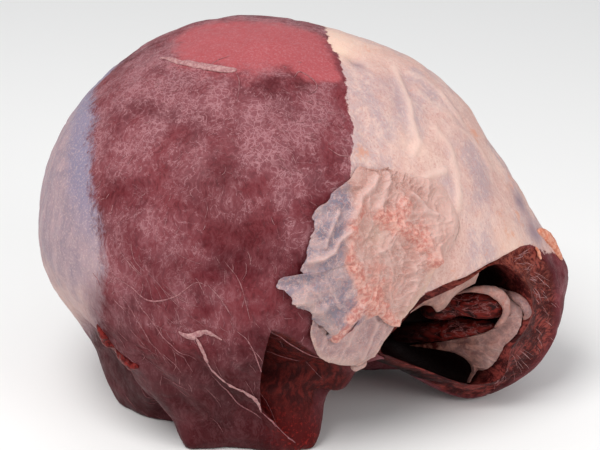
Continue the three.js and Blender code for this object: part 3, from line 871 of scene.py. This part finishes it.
strands = {
    # single strands by their directions, with their radius
    "single": [
        ([(-129.5, 3.8), (-123, 1.2), (-117.7, -1.3), (-111, 0.6), (-105.5, 4.9), (-102.4, 4.1)], 0.30),
        ([(-102.4, 4.6), (-99, 0.7), (-96, -4.5)], 0.25), ([(-123, 0.4), (-118, -7), (-113.6, -14),
            (-107.5, -20.7)], 0.28),
        ([(-128, 0.7), (-122.5, -6.6), (-119, -15.3)], 0.22), ([(-98, 11), (-94, 5), (-91.5, -5.3)], 0.19),
        ([(-104, -26), (-100, -32.5), (-96, -39), (-88.6, -45)], 0.28),
        ([(-126.7, 10), (-120.4, 5)], 0.22), ([(-95.5, -8), (-91.7, -13.4), (-88.5, -25), (-87.2, -36)],
            0.28),
        ([(-85.7, -10.5), (-82, -12.8), (-77.4, -18), (-70.3, -23.4), (-62, -27.4)], 0.28),
        ([(-63.5, 40), (-60.4, 37.4), (-57, 36.5)], 0.25), ([(-80, 37), (-83, 39.5)], 0.28),
        ([(-88.6, -41), (-85, -43.6), (-80.3, -46.7), (-76.3, -49)], 0.50),
        ([(-125, 66), (-122, 70), (-117, 73)], 0.17), ([(-104, 66), (-100, 62), (-99, 55)], 0.19),
        ([(-66, 64), (-60, 65.8), (-55, 62.7), (-56, 59), (-63, 57)], 0.28),
    ],
    # scattered: azimuth, elevation, spread, heading, count, length in mm, radius
    "scattered": [
        (-122, 30, 14, -88, 22, 4, 0.1), (-116, -4, 9, -55, 34, 14, 0.11),
        (-100, -28, 12, -50, 14, 12, 0.1), (-94, 8, 12, -70, 24, 6, 0.1), (-72, 50, 9, -30, 60, 4, 0.1),
        (-84, 40, 14, -65, 24, 4, 0.09), (-152, 54, 6, 10, 36, 3, 0.2), (-120, 60, 14, 30, 14, 4, 0.12),
        (-140, 4, 7, -60, 20, 7, 0.12), (-128, -22, 8, -75, 24, 7, 0.11), (-140, 20, 10, 60, 30, 3, 0.2),
        (-84, -8, 8, -70, 16, 8, 0.1), (150, -20, 22, -70, 40, 14, 0.12),
        (110, -30, 24, -90, 40, 14, 0.12), (-160, -45, 14, -60, 20, 10, 0.12),
    ],
    "steps": 14,
    "singleSteps": 40,
    "reach": 95,  # mm from the heart, which turns a length into an angle
    "wobble": (3, 0.35, 72),
    "lift": 0.1,
    "sides": 5,
    "bend": 4.5,
    "turned": 13.0,
}


def wander(patch, rng):
    # strands set off round the patch's middle and turn a little at each step over the skin
    azimuth, elevation, spread, heading, count, length, radius = patch
    toward = unit(direction(azimuth, elevation) + math.radians(spread) * rng.normal(size=(count, 3)))
    angle = np.radians(heading + strands["turned"] * rng.normal(size=count))
    stride = length * rng.uniform(0.5, 1.4, (count, 1)) / strands["steps"] / strands["reach"]
    bend = np.radians(strands["bend"]) * rng.normal(size=count) * 0.5
    places = []
    for _ in range(strands["steps"]):
        places.append(toward)
        east = unit(np.cross([0, 0, 1.0], toward))
        north = np.cross(toward, east)
        step = np.cos(angle)[:, None] * east + np.sin(angle)[:, None] * north
        toward = unit(toward + stride * step)
        angle = angle + bend + np.radians(strands["bend"]) * rng.normal(size=count)
    return np.stack(places, 1), radius * rng.uniform(0.6, 1.5, count)


def buildStrands(material):
    # thin tubes half sunk in the skin, thinned to nothing at both ends
    rng = np.random.default_rng(71)
    paths, radii = [], []
    for corners, radius in strands["single"]:
        degrees = evenly(corners, strands["singleSteps"])
        paths.append(direction(degrees[:, 0], degrees[:, 1]))
        radii.append(radius)
    for patch in strands["scattered"]:
        places, thickness = wander(patch, rng)
        bare = edgeDistance(places.mean(1), membranes["right"]) < 2
        bare &= edgeDistance(places.mean(1), membranes["left"]) < 3
        paths += list(places[bare])
        radii += list(thickness[bare])
    grids = []
    for toward, radius in zip(paths, radii):
        share = np.linspace(0, 1, len(toward))
        path = onSkin(toward, strands["lift"])
        thinned = radius * (1 + noises(path, [strands["wobble"]])) * (0.15 + np.sin(np.pi * share) ** 0.5)
        grids.append(capped(onBoard(tubeGrid(path, thinned, toward, strands["sides"], 0.8))))
    addPiece("looseStrands", grids, material)


fibres = {
    # white fibres over the cut face: turns, shares outward, how far each runs in both, count
    "tufts": [((12, 44), (0.2, 0.6), (-9, 0.3), 34), ((310, 334), (0.1, 0.6), (-3, 0.4), 22),
        ((338, 8), (0.5, 0.9), (-5, 0.2), 10)],
    "radius": 0.08,
    "steps": 10,
    "lift": 0.3,
    "bow": 0.6,
    "sides": 5,
}


def buildFibres(material):
    # straight runs over the cut face with a little bow, thinned at both ends
    rng = np.random.default_rng(81)
    grids = []
    share = np.linspace(0, 1, fibres["steps"])
    for (low, high), (inner, outer), (swing, out), count in fibres["tufts"]:
        high = high + 360 if high < low else high
        for turn, part in zip(rng.uniform(low, high, count), rng.uniform(inner, outer, count)):
            reachOut = out * rng.uniform(0.4, 1.1)
            turns = (turn + swing * rng.uniform(0.4, 1.1) * share) % 360
            outward = np.clip(part + reachOut * share, 0, 0.97)
            bow = hollowAxis * np.sin(np.pi * share)[:, None] * fibres["bow"]
            path = cutFace(turns, outward, fibres["lift"]) + bow
            radius = fibres["radius"] * rng.uniform(0.6, 1.5) * (0.2 + np.sin(np.pi * share) ** 0.5)
            grids.append(capped(tubeGrid(path, radius, hollowAxis + 0 * path, fibres["sides"])))
    addPiece("cutFibres", grids, material)


def toLinear(code):
    # sRGB hex to linear: the standard curve
    values = [int(code[i:i + 2], 16) / 255 for i in (1, 3, 5)]
    return tuple(v / 12.92 if v <= 0.04045 else ((v + 0.055) / 1.055) ** 2.4 for v in values) + (1.0,)


nodeKinds = {
    # node, settings, the sockets or settings that its values go to in turn, output; Size is in mm
    "place": ("TexCoord", {}, (), "Object"),
    "attribute": ("Attribute", {}, ("attribute_name",), "Fac"),
    "noise": ("TexNoise", {"Detail": 3.0, "Roughness": 0.55}, ("Vector", "Size", "Detail", "Roughness"), 0),
    "swirl": ("TexNoise", {"Detail": 3.0}, ("Vector", "Size"), "Color"),
    "cells": ("TexVoronoi", {"feature": "DISTANCE_TO_EDGE"}, ("Vector", "Size"), "Distance"),
    "stretch": ("Mapping", {}, ("Vector", "Scale", "Rotation"), 0),  # a small scale gives long marks
    "alongX": ("SeparateXYZ", {}, (0,), 0),
    "alongZ": ("SeparateXYZ", {}, (0,), 2),
    "off": ("VectorMath", {"operation": "SUBTRACT"}, (0, 1), 0),
    "push": ("VectorMath", {"operation": "MULTIPLY_ADD"}, (0, 1, 2), 0),
    "plus": ("Math", {"operation": "ADD"}, (0, 1), 0),
    "plusHeld": ("Math", {"operation": "ADD", "use_clamp": True}, (0, 1), 0),  # held between 0 and 1
    "minus": ("Math", {"operation": "SUBTRACT"}, (0, 1), 0),
    "times": ("Math", {"operation": "MULTIPLY"}, (0, 1), 0),
    "timesHeld": ("Math", {"operation": "MULTIPLY", "use_clamp": True}, (0, 1), 0),
    "larger": ("Math", {"operation": "MAXIMUM"}, (0, 1), 0),
    "size": ("Math", {"operation": "ABSOLUTE"}, (0,), 0),
    "mix": ("Mix", {"data_type": "RGBA"}, (0, 6, 7), 2),
    "between": ("Mix", {"data_type": "FLOAT"}, (0, 2, 3), 0),
    "ramp": ("MapRange", {"interpolation_type": "SMOOTHSTEP"}, (0, 1, 2, 3, 4), 0),
    "bump": ("Bump", {}, ("Strength", "Distance", "Height"), 0),
}


class Tree:
    # a material's node tree: add() makes a node with its settings and links
    def __init__(self, name):
        self.material = bpy.data.materials.new(name)
        self.material.use_nodes = True
        self.tree = self.material.node_tree
        self.shader = self.tree.nodes["Principled BSDF"]

    def add(self, kind, *values):
        node, settings, sockets, output = nodeKinds[kind]
        made = self.tree.nodes.new("ShaderNode" + node)
        for key, value in list(settings.items()) + list(zip(sockets, values)):
            self.put(made, key, value)
        return made.outputs[output]

    def put(self, made, key, value):
        # a setting, a link or a socket's own value; colours may be given as hex
        if key == "Size":
            key, value = "Scale", 1 / (value * metre)
        if isinstance(key, str) and hasattr(made, key):
            setattr(made, key, value)
        elif hasattr(value, "is_output"):
            self.tree.links.new(value, made.inputs[key])
        else:
            made.inputs[key].default_value = toLinear(value) if isinstance(value, str) else value

    def threads(self, vector, size, width, detail=3.0):
        # thin winding lines, where a noise crosses its middle
        off = self.add("size", self.add("minus", self.add("noise", vector, size, detail, 0.6), 0.5))
        return self.add("ramp", off, width, width * 0.3)

    def warped(self, vector, size, amount):
        # places pushed about by a colour noise, amount in mm
        push = self.add("off", self.add("swirl", vector, size), (0.5, 0.5, 0.5))
        return self.add("push", push, (amount * metre, amount * metre, amount * metre), vector)

    def finishWith(self, colour, height, bump, roughness, softness=0.08, coat=0.0, gloss=0.2):
        # bump in mm; softness is the share of light that scatters just under the surface
        self.put(self.shader, "Base Color", colour)
        self.put(self.shader, "Normal", self.add("bump", 1.0, bump * metre, height))
        self.put(self.shader, "Roughness", roughness)
        flesh = {
            "Subsurface Weight": softness, "Subsurface Radius": (1.0, 0.4, 0.3), "Subsurface Scale": 0.002,
            "IOR": 1.35, "Specular IOR Level": gloss, "Coat Weight": coat, "Coat Roughness": 0.3,
        }
        for key, value in flesh.items():
            self.shader.inputs[key].default_value = value
        return self.material


# Raw beef: dark red muscle under a mauve veil with pale flecks and fibres; silverskin, cut meat, a wet film;
# painted shade low down and deep in the hollow, painted sheen on the top and painted glints among the flecks
beef = {
    "muscle": "#5a1820", "muscleLight": "#702a30", "muscleDeep": "#34060a", "webAndSheen": "#b08084",
    "film": "#8c565c", "roseAndSheen": "#a85054", "rosePale": "#b87478",
    "cut": "#38080a", "cutLight": "#8e3c36", "lip": "#5e1812", "lipLight": "#a05444",
    # hollow is painted shade: the near black of the deep hollow and slit
    "hollow": "#120202", "fresh": "#4a0808", "freshLight": "#841c18",
    "slit": "#340808", "slitLight": "#5e1a16",
    "silver": "#cca69c", "silverCool": "#b89f9f", "silverWarm": "#d0957e", "silverPale": "#dcbcb0",
    "silverPink": "#b88078", "cream": "#e6c4b0", "violet": "#84707c",
    "left": "#837a90", "leftPale": "#917e88", "leftWarm": "#a98f94", "leftLow": "#c2a29c",
    "leftDark": "#86686c",
}


def beefMaterial():
    t = Tree("rawBeefUnderSilverskin")
    place = t.add("place")
    rightSkin, leftSkin = t.add("attribute", "rightSkin"), t.add("attribute", "leftSkin")
    slant = t.add("attribute", "slant")
    bent = t.warped(place, 16, 14)
    upright = t.add("stretch", bent, (1, 1, 0.22))
    slanted = t.add("stretch", bent, (1, 1, 0.16), (0, -0.75, 0))
    haze = t.add("noise", place, 17, 4, 0.6)
    patch = t.add("noise", bent, 26, 3, 0.5)
    fibre = t.add("between", slant, t.add("noise", upright, 1.7, 4, 0.7),
        t.add("noise", slanted, 2.1, 4, 0.7))
    fine = t.add("noise", place, 1.1, 3, 0.65)
    curly = t.warped(place, 3.5, 4)
    net = t.add("cells", curly, 3.4)
    swirl = t.threads(t.warped(place, 30, 30), 7, 0.014, 5)
    slope = t.threads(slanted, 5, 0.016, 4)

    # ragged edges: the distance from each outline plus a few mm of noise, cut sharply
    ragged = t.add("minus", t.add("noise", place, 8, 5, 0.7), 0.5)
    rightMask = t.add("ramp", t.add("plus", rightSkin, t.add("times", ragged, 9)), -0.4, 0.7)
    leftEdge = t.add("plus", leftSkin, t.add("times", t.add("minus", fibre, 0.5), 16))
    leftMask = t.add("ramp", t.add("plus", leftEdge, t.add("times", ragged, 12)), -4, 4)

    # muscle, from slow blotches to flecks; the web is how much pale tissue lies over it, with painted sheen
    # where it thickens on the top, and some flecks are painted glints
    muscle = t.add("mix", t.add("ramp", patch, 0.38, 0.62), beef["muscle"], beef["muscleLight"])
    muscle = t.add("mix", t.add("ramp", fibre, 0.52, 0.36, 0, 0.45), muscle, beef["muscleDeep"])
    # painted shade: the dark attribute draws the lower part of the joint, and its darker patches, towards
    # the deep muscle colour and thins the pale tissue there
    dark = t.add("times", t.add("attribute", "dark"), 0.85)
    bare = t.add("plusHeld", dark, t.add("ramp", patch, 0.45, 0.3, 0, 0.4))
    muscle = t.add("mix", t.add("times", bare, 0.92), muscle, beef["muscleDeep"])
    webAndSheen = t.add("plusHeld", t.add("attribute", "webAndSheen"), t.add("ramp", haze, 0.32, 0.68, -0.35, 0.4))
    webAndSheen = t.add("timesHeld", webAndSheen, t.add("minus", 1.0, t.add("times", bare, 0.75)))
    streaks = t.add("times", t.add("ramp", fibre, 0.5, 0.62), t.add("ramp", webAndSheen, 0.1, 0.9, 0.08, 0.5))
    clumps = t.add("ramp", t.add("noise", place, 11, 3, 0.6), 0.5, 0.62)
    inClumps = t.add("times", clumps, t.add("ramp", webAndSheen, 0.0, 0.6, 0.35, 0.9))
    # painted highlight: pale flecks in the clumps stand in for small glints on wet fibres as well as for
    # pale tissue
    glintFlecks = t.add("times", t.add("ramp", fine, 0.6, 0.7), inClumps)
    lines = t.add("between", slant, swirl, slope)
    lines = t.add("larger", lines, t.add("times", t.add("ramp", net, 0.07, 0.015),
        t.add("ramp", webAndSheen, 0.5, 0.9)))
    lines = t.add("times", lines, t.add("ramp", webAndSheen, 0.05, 0.6, 0.08, 0.75))
    veil = t.add("larger", t.add("larger", streaks, t.add("times", glintFlecks, 0.8)), lines)
    muscle = t.add("mix", t.add("times", webAndSheen, 0.7), muscle, beef["film"])
    muscle = t.add("mix", t.add("times", veil, 0.8), muscle, beef["webAndSheen"])
    # painted sheen in part: these spots make the top of the dome paler and pinker
    roseAndSheen = t.add("mix", t.add("ramp", fine, 0.45, 0.7, 0, 0.6), beef["roseAndSheen"], beef["rosePale"])
    edged = t.add("plus", t.add("attribute", "roseAndSheen"), t.add("times", ragged, 0.9))
    muscle = t.add("mix", t.add("ramp", edged, 0.2, 0.7, 0, 0.9), muscle, roseAndSheen)

    # silverskin on the right: blotched cool and warm, netted with pink, pale veins, cream towards the top
    blotch = t.add("noise", place, 24, 4, 0.55)
    silver = t.add("mix", t.add("ramp", blotch, 0.4, 0.62), beef["silver"], beef["silverCool"])
    silver = t.add("mix", t.add("ramp", t.add("noise", upright, 8, 5, 0.65), 0.46, 0.68, 0, 0.7), silver,
        beef["silverPale"])
    silver = t.add("mix", t.add("ramp", fine, 0.48, 0.66, 0, 0.45), silver, beef["silverPink"])
    silver = t.add("mix", t.add("ramp", fibre, 0.5, 0.62, 0, 0.5), silver, beef["silverPale"])
    silver = t.add("mix", t.add("attribute", "cream"), silver, beef["cream"])
    fat = t.add("plus", t.add("noise", place, 7, 6, 0.7), t.add("times", t.add("attribute", "fatty"), 0.2))
    silver = t.add("mix", t.add("ramp", fat, 0.6, 0.78, 0, 0.75), silver, beef["silverWarm"])
    silver = t.add("mix", t.add("times", t.add("attribute", "violet"), 0.8), silver, beef["violet"])
    silver = t.add("mix", t.add("times", t.add("attribute", "vein"), 0.8), silver, beef["silverPale"])

    # thinner skin on the left: bluish along its edge, pinkish grey beyond, warm beige low down
    low = t.add("alongZ", place)
    rough = t.add("plus", leftEdge, t.add("times", ragged, 10))
    strip = t.add("times", t.add("ramp", rough, 22, 8), t.add("ramp", low, 0.1, 0.135))
    left = t.add("mix", t.add("ramp", t.add("noise", upright, 6, 4, 0.6), 0.35, 0.65), beef["leftPale"],
        beef["leftWarm"])
    left = t.add("mix", t.add("times", strip, 0.85), left, beef["left"])
    left = t.add("mix", t.add("ramp", fine, 0.5, 0.66, 0, 0.3), left, beef["silverPale"])
    warm = t.add("plus", low, t.add("times", ragged, 0.05))
    left = t.add("mix", t.add("ramp", warm, 0.095, 0.06), left, beef["leftLow"])
    left = t.add("mix", t.add("times", t.add("ramp", leftEdge, 16, 2), t.add("ramp", low, 0.1, 0.08)),
        left, beef["leftDark"])

    # bare cut meat: coarse, dark red; painted shade turns it black-red deep in the slit and the hollow
    coarse = t.add("noise", t.warped(place, 8, 3), 1.8, 4, 0.75)
    grainy = t.add("noise", t.add("stretch", bent, (0.3, 1, 1), (0, 0.9, 0)), 1.8, 4, 0.7)
    broad = t.add("ramp", t.add("noise", place, 13, 3, 0.6), 0.35, 0.65, -0.12, 0.12)
    cut = t.add("mix", t.add("ramp", t.add("plus", grainy, broad), 0.42, 0.72), beef["cut"],
        beef["cutLight"])
    lip = t.add("mix", t.add("ramp", grainy, 0.4, 0.62), beef["lip"], beef["lipLight"])
    cut = t.add("mix", t.add("times", t.add("attribute", "lip"), 0.8), cut, lip)
    fresh = t.add("mix", t.add("ramp", coarse, 0.5, 0.68), beef["fresh"], beef["freshLight"])
    atHollow = t.add("ramp", t.add("alongX", place), 0.03, 0.06)
    slitMeat = t.add("mix", t.add("ramp", t.add("noise", upright, 2.4, 4, 0.6), 0.4, 0.66), beef["slit"],
        beef["slitLight"])
    cut = t.add("mix", atHollow, slitMeat, cut)
    # painted shade: near black deep in the hollow and the slit, and a little over the cut face by the mouth
    cut = t.add("mix", t.add("attribute", "deepMeat"), cut, beef["hollow"])
    colour = t.add("mix", leftMask, muscle, left)
    colour = t.add("mix", rightMask, colour, silver)
    colour = t.add("mix", t.add("attribute", "cutMeat"), colour, cut)
    colour = t.add("mix", t.add("attribute", "fresh"), colour, fresh)

    height = t.add("times", t.add("plus", rightMask, leftMask), 0.9)
    height = t.add("plus", height, t.add("times", fibre, 0.9))
    height = t.add("plus", height, t.add("times", fine, 0.5))
    clawed = t.add("times", coarse, t.add("attribute", "cutMeat"))
    height = t.add("plus", height, t.add("times", clawed, 2.0))
    return t.finishWith(colour, height, 0.28, t.add("ramp", t.add("noise", place, 5, 3), 0.3, 0.7, 0.4,
        0.65))


# Torn silverskin: grey-lavender where it is loose, beige-pink where it lies on fat, pale along its folds
torn = {
    "held": "#b0867c", "loose": "#7e7480", "vein": "#cfaea6", "peach": "#b86c60", "peachPale": "#d8a294",
    "cream": "#c0a092", "pinkish": "#a66c64", "skin": "#cca69c", "blood": "#48140f", "bloodPale": "#8c5a4c",
}


def membraneMaterial():
    t = Tree("tornSilverskin")
    place = t.add("place")
    bent = t.warped(place, 12, 6)
    soft = t.add("noise", bent, 9, 4, 0.6)
    fine = t.add("noise", bent, 1.3, 4, 0.65)
    long = t.threads(t.warped(place, 18, 12), 6, 0.02, 5)
    short = t.threads(bent, 2.6, 0.03, 3)
    colour = t.add("mix", t.add("attribute", "loose"), torn["held"], torn["loose"])
    colour = t.add("mix", t.add("ramp", fine, 0.48, 0.64, 0, 0.4), colour, torn["pinkish"])
    colour = t.add("mix", t.add("ramp", soft, 0.4, 0.66, 0, 0.4), colour, torn["vein"])
    colour = t.add("mix", t.add("times", t.add("attribute", "vein"), 0.6), colour, torn["vein"])
    colour = t.add("mix", t.add("attribute", "cream"), colour, torn["cream"])
    peach = t.add("mix", t.add("ramp", t.add("noise", bent, 2.2, 4, 0.6), 0.4, 0.62), torn["peach"],
        torn["peachPale"])
    mask = t.add("plus", t.add("attribute", "peach"),
        t.add("ramp", t.add("noise", bent, 6, 5, 0.7), 0.35, 0.65, -0.35, 0.3))
    colour = t.add("mix", t.add("ramp", mask, 0.15, 1.0, 0, 0.85), colour, peach)
    colour = t.add("mix", t.add("times", long, 0.5), colour, torn["vein"])
    colour = t.add("mix", t.add("times", short, 0.3), colour, torn["peachPale"])
    lying = t.add("plusHeld", t.add("attribute", "lying"), t.add("ramp", soft, 0.3, 0.7, -0.2, 0.2))
    colour = t.add("mix", t.add("times", lying, t.add("ramp", t.add("attribute", "lying"), 0, 0.2)),
        colour, torn["skin"])
    clots = t.add("noise", t.warped(place, 5, 3), 3.0, 5, 0.65)
    blood = t.add("mix", t.add("ramp", clots, 0.4, 0.64), torn["blood"], torn["bloodPale"])
    colour = t.add("mix", t.add("attribute", "blood"), colour, blood)
    height = t.add("plus", t.add("times", soft, 1.2), t.add("times", fine, 0.5))
    return t.finishWith(colour, height, 0.4, t.add("ramp", fine, 0.3, 0.7, 0.4, 0.6), 0.15, 0.05, 0.35)


def plainMaterial(name, first, second, size, bump, roughness):
    # two colours mixed by one noise: soft fat, loose fibres, bare meat
    t = Tree(name)
    place = t.add("place")
    grain = t.add("noise", place, size, 4, 0.65)
    return t.finishWith(t.add("mix", t.add("ramp", grain, 0.38, 0.62), first, second), grain, bump,
        roughness)


rolled = {"dark": "#200404", "red": "#6e1c16", "pale": "#7c4a48", "deep": "#0c0101"}


def rolledMaterial():
    # bare muscle in long streaks; painted shade makes it black-red far inside the hollow
    t = Tree("rolledMuscle")
    place = t.add("place")
    along = t.add("stretch", t.warped(place, 9, 4), (0.22, 1, 1), (0, 0.15, 0.2))
    streak = t.add("noise", along, 2.2, 5, 0.65)
    colour = t.add("mix", t.add("ramp", streak, 0.38, 0.62), rolled["dark"], rolled["red"])
    colour = t.add("mix", t.threads(along, 3.5, 0.02, 4), colour, rolled["pale"])
    # painted shade: black-red towards the inner end, deep in the hollow
    inward = t.add("alongX", place)
    colour = t.add("mix", t.add("ramp", inward, 0.078, 0.05, 0, 0.9), colour, rolled["deep"])
    return t.finishWith(colour, streak, 0.5, 0.45)


camera = {
    "elevation": 22.0,
    "distance": 950.0,
    "focal": 1900.0,  # in pixels of the 600 pixel wide frame
    "heartAt": (260.0, 220.0),
    "frame": (600.0, 450.0),
    "sensor": 36.0,
}


def addCamera():
    # straight back from the heart at the elevation, then slid so that the heart falls where the photo has it
    up = math.radians(camera["elevation"])
    back = np.array([0, -math.cos(up), math.sin(up)])
    right = np.array([1.0, 0, 0])
    over = np.cross(back, right)
    slide = camera["distance"] / camera["focal"]
    width, height = camera["frame"]
    x, y = camera["heartAt"]
    eye = heart + back * camera["distance"]
    eye = eye + right * (width / 2 - x) * slide - over * (height / 2 - y) * slide
    data = bpy.data.cameras.new("camera")
    data.sensor_width = camera["sensor"]
    data.lens = camera["focal"] / width * camera["sensor"]
    holder = bpy.data.objects.new("camera", data)
    holder.location = eye * metre
    holder.rotation_euler = (math.pi / 2 - up, 0, 0)
    bpy.context.scene.collection.objects.link(holder)
    bpy.context.scene.camera = holder


def addLamp(name, place, size, power):
    # a square soft box that looks at the joint's middle
    data = bpy.data.lights.new(name, "AREA")
    data.size = size
    data.energy = power
    lamp = bpy.data.objects.new(name, data)
    lamp.location = place
    aim = np.array([0, 0, 0.09]) - np.array(place)
    lamp.rotation_euler = (
        math.atan2(math.hypot(aim[0], aim[1]), -aim[2]),
        0,
        math.atan2(aim[0], -aim[1]) + math.pi,
    )
    bpy.context.scene.collection.objects.link(lamp)


stage = {
    "half": 6.0, "top": -0.0005, "board": "#f2f1ef", "roughness": 0.7,
    "sky": (0.95, 0.97, 1.0, 1), "glow": 0.55,
}
lamps = {"key": ((-0.5, -0.7, 1.5), 0.9, 22), "fill": ((1.1, -1.0, 0.7), 0.8, 7)}  # place, size, power


def addStage():
    # a wide pale board just under the joint, and an even pale sky
    half, top = stage["half"], stage["top"]
    mesh = bpy.data.meshes.new("floor")
    corners = [(-half, -half, top), (half, -half, top), (half, half, top), (-half, half, top)]
    mesh.from_pydata(corners, [], [(0, 1, 2, 3)])
    floor = bpy.data.objects.new("floor", mesh)
    bpy.context.scene.collection.objects.link(floor)
    t = Tree("paleBoard")
    t.put(t.shader, "Base Color", stage["board"])
    t.shader.inputs["Roughness"].default_value = stage["roughness"]
    mesh.materials.append(t.material)
    world = bpy.data.worlds.new("studio")
    world.use_nodes = True
    world.node_tree.nodes["Background"].inputs[0].default_value = stage["sky"]
    world.node_tree.nodes["Background"].inputs[1].default_value = stage["glow"]
    bpy.context.scene.world = world
    bpy.context.scene.view_settings.view_transform = "Standard"


addCamera()
addStage()
for name, (place, size, power) in lamps.items():
    addLamp(name, place, size, power)
print("camera and lamps set")
beefSkin = beefMaterial()
tornSkin = membraneMaterial()
materials = {
    "meat": rolledMaterial(),
    "fresh": plainMaterial("freshMuscle", "#480809", "#7c2420", 2.0, 0.5, 0.35),
    "fat": plainMaterial("softFat", "#c2765c", "#d69a84", 2.0, 0.4, 0.45),
    "fibre": plainMaterial("looseFascia", "#98686a", "#b48a88", 1.5, 0.2, 0.55),
    "thread": plainMaterial("thinFascia", "#7e4a4e", "#a27072", 1.5, 0.2, 0.55),
    "membrane": tornSkin,
}
buildJoint(beefSkin)
buildFlap(tornSkin)
buildLobe(tornSkin)
buildInnerSheet("fanMembrane", fan, np.array([0.35, -0.9, 0.25]), tornSkin)
buildInnerSheet("hangingFat", fatEdge, np.array([0.2, -0.95, 0.2]), tornSkin)
for name, cord in cords.items():
    buildCord(name, cord, materials[cord["kind"]])
buildStrands(materials["thread"])
buildFibres(materials["fibre"])
